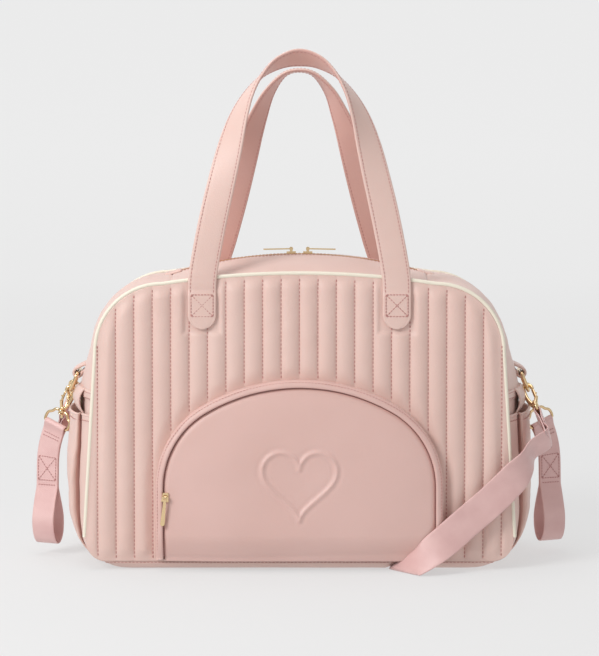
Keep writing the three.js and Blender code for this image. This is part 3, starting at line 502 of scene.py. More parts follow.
def panel_points(x, z, tag, side):
    return np.stack([x, side * (PANEL_Y + puff(x, z, tag)) * taper(z), z], -1)


def panel_columns():
    """Columns that crowd towards the seams of the channels."""
    steps = (np.arange(18) / 18 - 0.5) * 2
    inside = np.sort(0.5 + 0.5 * np.sign(steps) * np.abs(steps) ** 0.8)
    xs = np.concatenate([(k + inside) * CHANNEL for k in range(12)])
    xs = [x for x in sorted(set(np.round(xs, 4))) if x < 202.2] + [202.7, 203.0]
    return np.array([-x for x in xs[:0:-1]] + xs)


def panel_surface(tag, side, rows=170):
    xs = panel_columns()
    v = np.linspace(0, 1, rows)
    v = v + 0.012 * np.sin(2 * math.pi * v)
    z = foot_of(xs)[:, None] * (1 - v) + top_of(xs)[:, None] * v
    return panel_points(np.repeat(xs[:, None], rows, 1), z, tag, side)


def quilt_threads(tag, side):
    """Stitches down each seam of the quilting, outside the pocket."""
    pile = Pile()
    for k in range(-11, 12):
        x = k * CHANNEL
        low, high = float(foot_of(x)) + 3, float(top_of(x)) - 3
        z = np.linspace(low, high, int((high - low) / 3.7))
        if tag == "front" and abs(x) < POCKET_X:
            z = z[pocket_inside(x, z) < -9.5]
        line = panel_points(np.full_like(z, x), z, tag, side) + [0, side * 0.3, 0]
        for a, b in zip(line[:-1], line[1:]):
            if np.linalg.norm(b - a) < 6:
                pile.stitch((a + b) / 2, (b - a) * 0.33, 0.2, 0.58, 0.6)
    finished(pile.object(f"quilt_thread_{tag}", THREAD), "leather", "bag")


for tag, side in (("front", -1), ("back", 1)):
    outer = panel_surface(tag, side)
    inner = outer.copy()
    inner[..., 1] = side * PANEL_BACK_Y * taper(inner[..., 2])
    quilt = shell(f"quilted_{tag}", outer, inner, LEATHER, flip=side > 0)
    finished(quilt, "leather", "bag", f"{tag}_panel")
    quilt_threads(tag, side)

    # Cream piping round the sides and the top.
    route = (OUTLINE + line_normals(OUTLINE) * 1.4)[CORNER_COUNT:]
    right = np.stack([route[:, 0], side * 83.6 * taper(route[:, 1]), route[:, 1]], 1)
    line = resample(mirrored(right, [-1, 1, 1]), 2.0)
    finished(new_mesh(f"{tag}_cord", *tube_data(line, 1.9, 10), PIPING), "piping", "bag", f"{tag}_piping")


# ---- the sides ----
def dome(y):
    return 1 - (np.asarray(y, float) / GUSSET_EDGE) ** 2


def mirror(points, side):
    return np.asarray(points) * [side, 1, 1]


def over_side(line, ys, lift, side):
    """Points over a side: line holds x and z from low to high, lift stands each point out of the skin."""
    normal = line_normals(line)
    out = swell_at(line[:, 1])[:, None] * dome(ys)[None, :] + lift
    x = line[:, 0][:, None] + normal[:, 0][:, None] * out
    z = line[:, 1][:, None] + normal[:, 1][:, None] * out
    return mirror(np.stack([x, ys[None, :] * taper(z), z], -1), side)


def on_side(y, z, lift, side):
    """Points of a side's skin below the shoulder; the bottom corner is round."""
    corner = FOOT_X + np.sqrt(np.clip(FOOT_R**2 - (FOOT_Z - z) ** 2, 0, None))
    x = np.where(z < FOOT_Z, corner, edge_x(z)) + swell_at(z) * dome(y) + lift
    return mirror(np.stack([x, y * taper(z), z], -1), side)


def flank_line(heights):
    return np.stack([edge_x(heights), heights], 1)


def soft_wrinkle(y, z, seed, size):
    return size * fractal(y / 34 + seed, z / 26, seed, 3)


GUSSET_THICK, GUSSET_FOLD_Y = 2.2, 71


def side_wall(tag, side):
    line = resample(OUTLINE[OUTLINE[:, 0] >= MOUTH_HALF - 6], 2.6)
    near_fold = GUSSET_FOLD_Y + np.array([-2, 0, 2])
    ys = np.sort(np.concatenate([np.linspace(-80.5, 80.5, 72), near_fold, -near_fold]))
    yy, zs = np.meshgrid(ys, line[:, 1])
    fold = 1.4 * np.exp(-(((np.abs(yy) - GUSSET_FOLD_Y) / 2.4) ** 2)) * smooth(258, 205, zs)
    groove = 0.9 * np.exp(-(((zs - SEAM_Z) / 1.3) ** 2))
    slack = soft_wrinkle(yy, zs, 31 + side, 1.0) * np.clip(dome(yy), 0, 1) ** 0.5
    lift = slack - fold - groove - 1.6 * smooth(125, 121, line[:, 0])[:, None]
    outer, inner = over_side(line, ys, lift, side), over_side(line, ys, lift - GUSSET_THICK, side)
    wall = shell(f"side_wall_{tag}", outer, inner, LEATHER, flip=side < 0)
    finished(wall, "leather", "bag", f"side_gusset_{tag}", f"shoulder_gusset_{tag}")


def seam_cover(tag, side, pile):
    """The folded band over the seam, sewn along both edges."""
    ys = np.linspace(-79.5, 79.5, 90)
    rise = np.array([0.2, 1.2, 1.6, 1.5, 1.5, 1.6, 1.2, 0.2])[:, None]
    line = flank_line(SEAM_Z + np.array([-4.2, -4.0, -3.2, -1.2, 1.2, 3.2, 4.0, 4.2]))
    outer, inner = over_side(line, ys, rise + 0.3, side), over_side(line, ys, 0 * rise - 0.6, side)
    band = shell(f"seam_cover_{tag}", outer, inner, LEATHER, flip=side < 0)
    finished(band, "leather", "bag", f"seam_band_{tag}")
    for dz in (-2.6, 2.6):
        pile.stitches(on_side(ys, np.full_like(ys, SEAM_Z + dz), 2.0, side), radius=0.34)


# Half of the bottle pocket's section, as y and height off the side: a strip, a deep pleat, a slack front.
POUCH_HALF = [(79.5, 0.7), (75, 2.2), (69, 4.2), (63, 5.8), (58.5, 6.1), (54.5, 4.4), (50.5, 1.4)]
POUCH_HALF += [(51.2, 3.4), (54, 6.4), (57, 9.2), (58.8, 11.8), (57.6, 14.2), (51, 15.6), (38, 16.2)]
POUCH_HALF += [(18, 16.6), (0, 16.7)]
POUCH_LOW, POUCH_HEIGHT, POUCH_THICK = 11, 134, 1.5
# Within the pleat the faces get the darker, redder leather: painted shade in the fold.
PLEAT_Y, PLEAT_HEIGHT = 56.5, 9


def bottle_pouch(tag, side, pile):
    right = np.array(POUCH_HALF) * [-1, 1]
    profile = resample(spline(np.concatenate([right, right[-2::-1] * [-1, 1]]), 6), 1.5)
    y, stand = profile.T
    deep = np.clip((stand - 2) / 10, 0, 1)
    rows = []
    for v in np.linspace(0, 1, 54):
        z = POUCH_LOW + POUCH_HEIGHT * v
        along = float(smooth(-0.08, 0.35, v) * (1 - 0.4 * smooth(0.55, 1, v)))
        slack = soft_wrinkle(y * 1.4, np.full(len(y), z * 0.8), 57 + side, 1.5)
        lift = 0.5 + (stand - 0.5) * (0.12 + 0.88 * along) + slack * deep * along
        sag = 2.2 * deep * math.sin(math.pi * v) * np.cos(y / 40)
        rows.append(on_side(y, z - sag * 0.4, lift, side))
    outer = np.array(rows)
    normals = unit(np.cross(np.gradient(outer, axis=0), np.gradient(outer, axis=1)))
    if normals[27, len(y) // 2, 0] * side < 0:
        normals = -normals
    pouch = shell(f"bottle_pouch_{tag}", outer, outer - normals * POUCH_THICK, LEATHER, flip=side < 0)
    # The pleat's faces take the darker leather, which paints the shade in the fold.
    pouch.data.materials.append(SHADE_LEATHER)
    pleat = (np.abs(y) < PLEAT_Y) & (stand < PLEAT_HEIGHT)
    columns = len(y) - 1
    for face in pouch.data.polygons[: (len(rows) - 1) * columns]:
        face.material_index = int(pleat[face.index % columns])
    finished(pouch, "leather", "bag", f"bottle_pocket_{tag}")
    rim = new_mesh(f"pouch_hem_{tag}", *tube_data(outer[-1] - normals[-1] * 0.7, 1.35, 9), LEATHER)
    finished(rim, "leather", "bag")
    pile.stitches(outer[-3] + normals[-3] * 0.3, radius=0.42)


def side_keeper(tag, side):
    """A short leather keeper that stands off the side above the pocket."""
    t = np.linspace(1, 0, 22)
    stand = 1.2 + 4.6 * np.sin(math.pi * t)[:, None] ** 0.8
    line, ys = flank_line(168 - 23 * t), np.linspace(-56, -6, 15)
    outer, inner = over_side(line, ys, stand + 1.6, side), over_side(line, ys, stand, side)
    finished(shell(f"side_keeper_{tag}", outer, inner, LEATHER, flip=side < 0), "leather", "bag")


RING_TAB_HALF, RING_TAB_R = 14, 3.9


def ring_tab(tag, side):
    """The leather tab folded round the D-ring's bar, which is at the hardware's pivot."""
    pivot_x, _, pivot_z = HARDWARE["pivot"]

    def skin(z, out):
        return float(edge_x(z) + swell_at(z) + out)

    path = [(skin(189, -1.6), 188.6), (skin(187, 1.6), 187.4), (214.2, 185.2)]
    round_bar = np.radians([48, 15, -20, -60, -100, -140])
    path += [(pivot_x + RING_TAB_R * math.cos(a), pivot_z + RING_TAB_R * math.sin(a)) for a in round_bar]
    path = spline(path + [(211.0, 180.4), (skin(183, -1.4), 183.2)], 5)
    normal, ys = line_normals(path), np.linspace(-RING_TAB_HALF, RING_TAB_HALF, 12)
    bend = np.clip(1 - (ys / RING_TAB_HALF) ** 2, 0, 1)

    def sheet(shift):
        lines = [path + normal * s for s in shift]
        return mirror(np.stack([np.insert(line, 1, y, axis=1) for line, y in zip(lines, ys)], 1), side)

    outer, inner = sheet(-1.3 - 0.3 * bend), sheet(1.0 + 0.2 * bend)
    tab = shell(f"ring_loop_{tag}", outer, inner, LEATHER, flip=side > 0)
    finished(tab, "leather", "bag", f"ring_tab_{tag}")


for tag, side in SIDES:
    pile = Pile()
    side_wall(tag, side)
    seam_cover(tag, side, pile)
    bottle_pouch(tag, side, pile)
    side_keeper(tag, side)
    finished(pile.object(f"side_thread_{tag}", THREAD), "leather", "bag")
    ring_tab(tag, side)


# ---- the mouth ----
def ridge(x):
    return RIDGE - (ZIP_R - np.sqrt(ZIP_R**2 - np.asarray(x, float) ** 2))


def mouth_z(x, y):
    rise = top_of(x)
    return rise + (ridge(x) - rise) * dome(y)


TAPE_HALF, TEETH_HALF, TOOTH_PITCH, SEWN_Y = 119, 116, 2.0, 11.5


def along_mouth(x, y, z, side):
    """Points at a distance y from the middle of the mouth."""
    return np.stack(np.broadcast_arrays(x, side * y * TOP_SCALE, z), -1)


for tag, side in (("front", -1), ("rear", 1)):
    xs = np.linspace(-MOUTH_HALF, MOUTH_HALF, 120)
    ys = np.concatenate([[80.6, 80.0, 79], np.linspace(77, 7, 26), [6.2, 5.6, 5.2]])
    X, Y = np.meshgrid(xs, ys, indexing="ij")
    pinch = 0.8 * np.exp(-(((Y - 76.2) / 1.4) ** 2)) + 0.9 * np.exp(-(((Y - 8.5) / 1.2) ** 2))
    slack = 0.9 * fractal(X / 55, Y / 40 * side, 71 + side, 2)
    slack = slack * np.clip((80 - Y) / 12, 0, 1) * np.clip((Y - 6) / 8, 0, 1)
    Z = mouth_z(X, Y) - pinch + slack
    outer, inner = along_mouth(X, Y, Z + 0.2, side), along_mouth(X, Y, Z - 2.0, side)
    flap = shell(f"mouth_leather_{tag}", outer, inner, LEATHER, flip=side < 0)
    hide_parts(f"top_seam_{tag}", f"mouth_flap_{tag}")
    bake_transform(flap)

    body = f"mouth_{tag}"
    pile = Pile()
    x = np.linspace(-TEETH_HALF, TEETH_HALF, 90)
    pile.stitches(along_mouth(x, SEWN_Y, mouth_z(x, SEWN_Y) + 0.3, side), radius=0.34)
    finished(pile.object(f"mouth_thread_{tag}", THREAD), "leather", body)

    xs = np.linspace(-TAPE_HALF, TAPE_HALF, 60)
    tape_rows = ((0.6, -0.5), (3.5, -0.5), (7.0, -0.9))
    outer = np.stack([along_mouth(xs, y, ridge(xs) + dz, side) for y, dz in tape_rows], 1)
    tape = shell(f"zip_cloth_{tag}", outer, outer - [0, 0, 0.8], TAPE, flip=side > 0)
    finished(tape, "leather", body, f"zip_tape_{tag}")
    # The teeth of the rear half stand between those of the front half.
    teeth, shift = Pile(), TOOTH_PITCH / 2 if side > 0 else 0.0
    for x in np.arange(-TEETH_HALF, TEETH_HALF, TOOTH_PITCH):
        a = math.asin(x / ZIP_R)
        axes = [[math.cos(a), 0, -math.sin(a)], [0, 1, 0], [math.sin(a), 0, math.cos(a)]]
        teeth.box((x + shift, side * 1.55, float(ridge(x + shift)) + 0.1), axes, (0.62, 1.45, 0.55))
    finished(teeth.object(f"zip_teeth_{tag}", GOLD, flat=True), "gold", body)

# Leather ends that close the zip.
ZIP_END_HALF = 12
for tag, side in SIDES:
    u = np.linspace(0, 1, 12)
    X, Y = np.meshgrid(114 + 17 * u, np.linspace(-ZIP_END_HALF, ZIP_END_HALF, 13), indexing="ij")
    edge = np.minimum(1 - np.abs(Y) / ZIP_END_HALF, np.minimum(u, 1 - u)[:, None] * 1.6)
    edge = np.clip(edge * 5, 0, 1) ** 0.5
    base = np.where(X <= MOUTH_HALF, mouth_z(np.minimum(X, MOUTH_HALF), Y), top_of(X) + 4.9 * dome(Y))
    outer = mirror(along_mouth(X, Y, base + 0.4 + 1.5 * edge, 1), side)
    inner = mirror(along_mouth(X, Y, base - 0.4, 1), side)
    finished(shell(f"zip_end_{tag}", outer, inner, LEATHER, flip=side < 0), "leather", "bag")

# ---- base, board and lining ----
SOLE_X, SOLE_Y, SOLE_RISE, SOLE_THICK = 189.0, 84.0, 6.2, 3.4
xs = np.concatenate([np.linspace(-1, -0.9, 9), np.linspace(-0.86, 0.86, 50), np.linspace(0.9, 1, 9)])
ys = np.concatenate([np.linspace(-1, -0.84, 9), np.linspace(-0.8, 0.8, 30), np.linspace(0.84, 1, 9)])
FX, FY = np.meshgrid(xs, ys, indexing="ij")
turn = np.clip((np.abs(FX) - 0.86) / 0.14, 0, 1) ** 2.2 + np.clip((np.abs(FY) - 0.87) / 0.13, 0, 1) ** 2
turn = np.minimum(1, turn)
rise = SOLE_RISE * turn
X = FX * SOLE_X * (1 - 0.025 * smooth(0.8, 1, np.abs(FY)))
Y = FY * SOLE_Y * (1 - 0.03 * smooth(0.93, 1, np.abs(FX)))
# The shoulder strap runs under the bag in a shallow groove.
groove = 2.3 * smooth(18.5, 16, np.abs(X - (99.65 + 0.15 * (Y + 88))))
dip = 0.12 * (1 + value_noise(X / 30, Y / 22, 41))
lower = np.stack([X, Y, rise + groove + dip * (1 - turn)], -1)
upper = np.stack([X, Y, rise + SOLE_THICK - 0.9 * turn], -1)
finished(shell("base_leather", lower, upper, LEATHER, flip=True), "leather", "bag", "base_panel")
pile = Pile()
x = np.linspace(-184, 184, 110)
for side in (-1, 1):
    pile.stitches(np.stack([x, np.full_like(x, side * 84.4), np.full_like(x, 7.2)], 1), radius=0.34)
finished(pile.object("base_thread", THREAD), "leather", "bag")


def dress(name, mat, modifier, width, **settings):
    """Gives a CAD piece its material and softens its edges; the width is in metres."""
    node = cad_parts[name]
    node.data.materials.clear()
    node.data.materials.append(mat)
    soften = node.modifiers.new(modifier, "BEVEL")
    soften.width, soften.segments = width, 2
    for key, value in settings.items():
        setattr(soften, key, value)


dress("base_board", BOARD, "edge", 0.0005)

# The lining is a bag of cloth: its floor first, then its walls, then the same again from inside.
LINING_X, LINING_Y, LINING_R, CLOTH = 181, 78, 15, 1.2
corners = ((166, 63.4, 0), (-166, 63.4, 90), (-166, -63.4, 180), (166, -63.4, 270))
ring = np.concatenate([arc(cx, cy, LINING_R, a, a + 90, 9) for cx, cy, a in corners])
ring = resample(np.concatenate([ring, ring[:1]]), 5)[:-1]
steps = [(s, 10.0) for s in (0.001, 0.3, 0.6, 0.85, 0.96)] + [(0.99, 11.2)]
steps += [(1.0, z) for z in np.linspace(14, 204, 26)]
outer_rows, inner_rows = [], []
for share, z in steps:
    wall = share == 1.0
    slack = fractal(ring[:, 0] / 30 + ring[:, 1] / 23, np.full(len(ring), z / 34), 91, 2)
    slack = 1.1 * slack * (1 if wall else 0.4)
    x = ring[:, 0] * share * (1 - slack / LINING_X)
    y = ring[:, 1] * share * taper(z) * (1 - slack / LINING_Y)
    height = z + (0 * slack if wall else 0.3 * slack)
    up = CLOTH if share < 0.99 else CLOTH / 2 if share < 1 else 0
    outer_rows.append(np.stack([x, y, height], 1))
    inner_rows.append(np.stack([x * (1 - CLOTH / LINING_X), y * (1 - CLOTH / LINING_Y), height + up], 1))
rows = np.array(outer_rows + inner_rows[::-1])
cloth = new_mesh("lining_cloth", rows, quads(*rows.shape[:2], wrap_v=True, flip=True), LINING)
finished(cloth, "lining", "bag", "lining")
finished(new_mesh("lining_hem", *tube_data(outer_rows[-1], 1.3, 8, ring=True), LINING), "lining", "bag")

# ---- the front pocket ----
# The pocket's foot on the panel, how far its front laps over its outline, and its band's stitches.
FACE, LIP = 85.3, 0.9
BAND_SEAM = (7.2, 1.0, 1.05)


def pocket_sweep(profile, step=2.2, low=11.0):
    """A profile carried round the pocket's outline; its entries are offset, share of the depth, extra."""
    count = len(pocket_line(0.0, step, low))
    rows = []
    for offset, share, extra in profile:
        line = pocket_line(offset, 0.7, low)
        length = travel(line)
        at = np.linspace(0, length[-1], count)
        x, z = np.interp(at, length, line[:, 0]), np.interp(at, length, line[:, 1])
        rows.append(np.stack([x, -(FACE + share * pocket_depth(z) + extra) * taper(z), z], 1))
    return np.stack(rows, 1)


band_profile = [(8.4, -0.1, 0), (9.0, 0.3, 0), (9.1, 0.6, 0.1), (8.8, 0.82, 0.3), (8.1, 0.95, 0.6)]
band_profile += [(6.9, 1.01, 1.0), (5.2, 1.04, 1.5), (3.6, 1.06, 1.9), (2.6, 1.05, 1.9), (2.0, 0.98, 1.0)]
band_profile += [(1.9, 0.9, -0.2), (2.3, 0.72, -0.6), (5.0, 0.6, -0.6), (7.0, 0.2, -0.4), (7.4, -0.1, 0)]
points = pocket_sweep(band_profile)
count, around = points.shape[:2]
points[..., 1] -= 0.35 * fractal(np.arange(count)[:, None] / 9.0, np.arange(around)[None, :] / 5.0, 15, 2)
band = new_mesh("pocket_band", points, capped(count, around), POCKET_LEATHER)
finished(band, "leather", "bag", "pocket_gusset")
pile = Pile()
pile.stitches(pocket_sweep([BAND_SEAM], 2.2, 20)[:, 0], pitch=3.1, length=2.1, radius=0.32)
finished(pile.object("pocket_thread", THREAD), "leather", "bag")

# The closed zip: a near-black sheet of painted shade down in the cleft beside the band, and a fine coil.
cleft = pocket_sweep([(4.4, 0.8, -1.2), (1.5, 0.8, -1.2), (-1.2, 0.8, -1.2)])
cleft_shade_sheet = shell("pocket_zip_painted_shade", cleft, cleft + [0, 1.0, 0], CLEFT_SHADE)
finished(cleft_shade_sheet, "leather", "bag", "pocket_zip_outer", "pocket_zip_inner")
teeth = Pile()
route = resample(pocket_sweep([(1.7, 0.9, -0.3)], 2.2, 14)[:, 0], 1.9)
for a, b in zip(route[:-1], route[1:]):
    along = unit(b - a)
    across = unit(np.cross(along, [0, -1, 0]))
    teeth.box((a + b) / 2, [along, across, np.cross(along, across)], (0.6, 1.0, 0.5))
finished(teeth.object("pocket_zip_coil", TAPE, flat=True), "leather", "bag")

# The smooth front of the pocket with a raised outline of a heart.
near_edge = [s * (POCKET_X + LIP - d) for d in (0, 0.15, 0.5, 1.0, 1.7, 2.5, 3.3) for s in (-1, 1)]
xs = np.unique(np.round(np.concatenate([np.linspace(-124, 124, 292), near_edge]), 3))
past_corner = np.clip(np.abs(xs) - CORNER_X, 0, None)
corner_top = CORNER_Z + np.sqrt(np.clip((CORNER_R + LIP) ** 2 - past_corner**2, 0, None))
arc_top = ARC_Z + np.sqrt((ARC_R + LIP) ** 2 - xs**2)
meet = CORNER_X + (CORNER_R + LIP) * math.cos(math.radians(POCKET_TURN))
top = np.where(np.abs(xs) > meet, corner_top, arc_top)
ease = np.linspace(0, 1, 150)
ease = np.where(ease > 0.9, 0.9 + 0.1 * np.sin((ease - 0.9) / 0.1 * math.pi / 2), ease)
X = np.repeat(xs[:, None], len(ease), 1)
Z = 9.5 + (top[:, None] - 9.5) * ease[None, :]
d = pocket_inside(X, Z) + LIP
turned = 1 - np.sqrt(np.clip(1 - (1 - np.clip(d / 5.5, 0, 1)) ** 2, 0, 1))
crown = 7.2 * (1 - (1 - np.clip(d, 0, 75) / 75) ** 2.2) * smooth(-30, 60, Z) ** 0.8
t = np.linspace(0, 2 * math.pi, 260)
heart_z = 13 * np.cos(t) - 5 * np.cos(2 * t) - 2 * np.cos(3 * t) - np.cos(4 * t)
nearest = np.full(X.shape, 99.0)
for hx, hz in np.stack([16 * np.sin(t) ** 3, heart_z], 1) * 2.2 + [0, 88]:
    nearest = np.minimum(nearest, np.hypot(X - hx, Z - hz))
raised = 1.5 * np.exp(-((nearest / 1.9) ** 2)) - 0.28 * np.exp(-(((nearest - 4.6) / 1.6) ** 2))
crease = 0.5 * np.exp(-(((Z - 15 - 2 * np.sin(X / 50)) / 2.6) ** 2))
slack = 0.7 * fractal(X / 62, Z / 40, 64, 2) * smooth(0, 18, d) - crease
Y = -(FACE + pocket_depth(Z) + LIP - 2.8 * turned + crown + raised + slack * 0.8) * taper(Z)
outer = np.stack([X, Y, Z], -1)
inner = outer + np.array([0, 1.6, 0]) * (1 - 0.6 * turned[..., None])
finished(shell("pocket_leather", outer, inner, POCKET_LEATHER), "leather", "bag", "pocket_front")

# ---- carrying handles ----
# The right half of each handle, root to top: x, distance from the middle plane, z, turn in degrees.
HANDLE_LINES = {
    "front": [
        (92, 73, 265.6, 0), (91, 72, 282, 0), (85.5, 69.5, 313, 3), (79.5, 66.5, 342, 8),
        (73, 63, 370, 16), (66, 58, 399, 30), (58.5, 53, 426, 50), (49, 48, 449, 72),
        (36, 43, 467, 92), (19, 39.5, 479.5, 114), (0, 38.5, 484, 126),
    ],
    "rear": [
        (84, 73.6, 265.6, 0), (83.4, 72.6, 280, 0), (76, 70, 304, 4), (65, 66, 343, 12),
        (54, 61.5, 384, 26), (47, 57, 409, 39), (40.5, 53, 427, 52), (30, 47, 450, 70),
        (15.5, 41.5, 467, 84), (0, 40, 471.5, 87),
    ],
}
TAB_HEIGHTS = (TAB_FOOT, 236, 244, 252, 259)
# Half of the handle's section: shares of the half width across it, and millimetres out of it.
HANDLE_ACROSS = (-1, -0.985, -0.93, -0.86, -0.8, -0.74, -0.5, -0.2)
HANDLE_OUT = (0.15, 0.85, 1.3, 1.42, 1.3, 1.48, 1.68, 1.78)
# The stitches along the handle, across and out of it, and the sewn box on each tab.
HANDLE_SEAM = (10.9, 1.38)
TAB_BOX, TAB_SEAM_Y = [(-10.4, 241), (10.4, 241), (10.4, 261.5), (-10.4, 261.5)], TAB_Y + 1.95


def handle_line(name, side):
    """Points and width directions along a handle, from the tab on the right over the top to the left tab."""
    half = np.array(HANDLE_LINES[name], float)
    around = np.concatenate([half[:1], half, half[-2:-1] * [-1, 1, 1, 1]])
    step = around[2:] - around[:-2]
    outward = unit(np.stack([step[:, 2], 0 * step[:, 0], -step[:, 0]], 1))
    outward[half[:, 3] == 0] = [1, 0, 0]
    turn = np.radians(half[:, 3:])
    wide = outward * np.cos(turn) + np.array([0, -side, 0]) * np.sin(turn)
    tab = [(TAB_X[name], side * TAB_Y * float(taper(z)), z, 1, 0, 0) for z in TAB_HEIGHTS]
    right = np.concatenate([tab, np.concatenate([half[:, :3] * [1, side, 1], wide], 1)])
    left = right[:-1] * [-1, 1, 1, -1, 1, 1]
    line = spline(np.concatenate([right, left[::-1]]), 12)
    return line[:, :3], line[:, 3:]


def across_and_out(points, wides):
    """Unit directions across a strap and out of it, along its line."""
    t = tangents(points)
    wide = unit(wides - t * np.sum(wides * t, 1, keepdims=True))
    return wide, np.cross(t, wide)


def flat_section(across, out):
    """A closed section that is the same on both faces; across runs from -1 towards the middle."""
    top = np.stack([np.concatenate([across, -np.array(across[::-1])]), np.concatenate([out, out[::-1]])], 1)
    return np.concatenate([top, top[::-1] * [1, -1]])


def along_and_across(length, across):
    """UVs of a strip from the lengths along it and across it."""
    return np.stack(np.meshgrid(length, across, indexing="ij"), -1)


for tag, side in (("front", -1), ("rear", 1)):
    section = flat_section(HANDLE_ACROSS, HANDLE_OUT) * [TAB_HALF, 1]
    around = len(section)
    points, wides = handle_line(tag, side)
    x, z = points[:, 0], points[:, 2]
    end = np.clip((TAB_FOOT + TAB_HALF - z) / (TAB_HALF + 0.1), 0, 1)
    end = np.sqrt(np.clip(1 - end**2, 0.02, 1))
    creases = 0.35 * fractal(z / 7, x / 40, 25 + side, 3) * smooth(256, 268, z) * smooth(330, 285, z)
    creases += 0.25 * fractal(z / 30, x / 30, 5, 2)
    points = points + across_and_out(points, wides)[1] * creases[:, None]
    wide, out = across_and_out(points, wides)
    verts = carried(points, wide, out, section, end)
    uv = along_and_across(np.arange(len(points)) * 0.25, np.arange(around) * 0.1)
    body = new_mesh(f"{tag}_carry_handle", verts, capped(len(points), around), LEATHER, uv)
    # The face that looks inwards gets the darker, redder leather: painted shade on the handle's underside.
    body.data.materials.append(SHADE_LEATHER)
    inward = range(around // 2 - 1) if side < 0 else range(around // 2, around - 1)
    for face in body.data.polygons[: len(points) * around - around]:
        face.material_index = int(face.index % around in inward)
    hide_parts(f"{tag}_handle", f"{tag}_handle_tab_left", f"{tag}_handle_tab_right")
    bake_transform(body)

    pile = Pile()
    upper = points[:, 2] > 262.5
    first, last = np.argmax(upper), len(points) - np.argmax(upper[::-1])
    for across in (-HANDLE_SEAM[0], HANDLE_SEAM[0]):
        for face in (-HANDLE_SEAM[1], HANDLE_SEAM[1]):
            pile.stitches((points + wide * across + out * face)[first:last], radius=0.44)
    for sign in (-1, 1):
        corners = [(sign * TAB_X[tag] + x, side * TAB_SEAM_Y * float(taper(z)), z) for x, z in TAB_BOX]
        for line in boxed_cross(corners):
            pile.stitches(line, pitch=3.0, length=2.3, radius=0.5)
    thread = pile.object(f"{tag}_handle_thread", THREAD)
    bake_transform(thread)


# ---- gold hardware ----
# The swivel ring's bar below its pivot, half the straps' widths, and how far the pram strap hangs turned.
SWIVEL_BAR = -37.5
PRAM_HALF, STRAP_HALF = 11.8, 15.0
PRAM_TURN = math.radians(66)
STRAP_EYE = 2.7


def hardware(side):
    return {key: np.array(value, float) * [side, side, 1] for key, value in HARDWARE.items()}


class Frame:
    """Carries shapes modelled hanging down -Z from a pivot into place."""

    def __init__(self, pivot, down, wide):
        z = -unit(down)
        y = unit(np.asarray(wide, float) - z * np.dot(wide, z))
        self.axes = np.array([np.cross(y, z), y, z])
        self.pivot = np.asarray(pivot, float)

    def __call__(self, points):
        return self.pivot + np.asarray(points, float) @ self.axes


def d_ring_route():
    """The line of the D-ring, in its own plane: flat along the top, round below."""
    turns = ((17.5, -3, 3, 90), (10.5, -9, 10, 0), (-10.5, -9, 10, -90), (-17.5, -3, 3, 180))
    line = np.concatenate([arc(y, z, radius, start, start - 90, 9) for y, z, radius, start in turns])
    line = np.insert(line, 0, 0, axis=1)
    return resample(np.concatenate([line, line[:1]]), 1.5)[:-1]


def in_plane(points):
    """(x, z) points as (x, 0, z)."""
    return np.insert(np.asarray(points, float), 1, 0, axis=1)


def clasp_pieces(kind, tag, at):
    """A snap clasp: a hook, a collar, a post for the swivel, rivets, and a sprung gate with a thumb lever."""
    pile = Pile()
    bow = arc(0, -0.35, 4.2, 180, 0, 11)
    foot = [(-1.3, -20.4), (-2.6, -17.2), (-3.9, -12.6), (-4.3, -8)]
    path = spline(in_plane(np.concatenate([foot, bow, [(4.2, -1.6), (4.1, -2.7)]])), 5)
    shares, radii = [0, 0.15, 0.35, 0.9, 0.97, 1], [1.5, 1.7, 1.65, 1.6, 1.5, 1.0]
    pile.placed(at, tube_data(path, np.interp(np.linspace(0, 1, len(path)), shares, radii), 16))
    arm = spline(in_plane([(1.3, -20.4), (2.5, -17.4), (3.9, -14.2), (4.35, -12.8)]), 5)
    pile.placed(at, tube_data(arm, np.linspace(1.5, 1.9, len(arm)), 14))
    collar = [(0, -18.2), (1.9, -18.3), (2.5, -19.0), (2.6, -20.0), (2.2, -20.8), (0, -20.9)]
    pile.placed(at, lathe_data(collar, 20))
    post = [(0, -19.6), (1.55, -19.6), (1.55, -24.5), (2.3, -24.6), (2.7, -24.9), (2.7, -25.7), (2.2, -26.2)]
    pile.placed(at, lathe_data(post + [(0, -26.4)]))
    rivet, faces = lathe_data([(0, 2.45), (0.8, 2.45), (1.1, 2.75), (0.8, 3.0), (0, 3.05)], 14)
    for sign in (-1, 1):
        turned = np.stack([rivet[:, 0] * 0.8 + 4.1, (rivet[:, 2] - 1.1) * sign, rivet[:, 1] * 0.8 - 13.6], 1)
        pile.placed(at, (turned, faces))
    finished(pile.object(f"{kind}_{tag}_hook", GOLD), "gold", f"{kind}_hook_{tag}", f"{kind}_clasp_{tag}")
    gate = Pile()
    path = spline(in_plane([(4.2, -13.2), (4.25, -10), (4.3, -6), (4.2, -3.2)]), 6)
    radius = np.interp(np.linspace(0, 1, len(path)), [0, 0.1, 0.85, 1], [1.25, 1.2, 1.15, 0.8])
    gate.placed(at, tube_data(path, radius, 14))
    lever = in_plane([(4.25, -9.4), (5.1, -9.2), (6.0, -8.6), (6.4, -8.2)])
    gate.placed(at, tube_data(lever, [0.95, 0.85, 0.8, 0.45], 12))
    finished(gate.object(f"{kind}_{tag}_lever", GOLD), "gold", f"{kind}_latch_{tag}", f"{kind}_gate_{tag}")


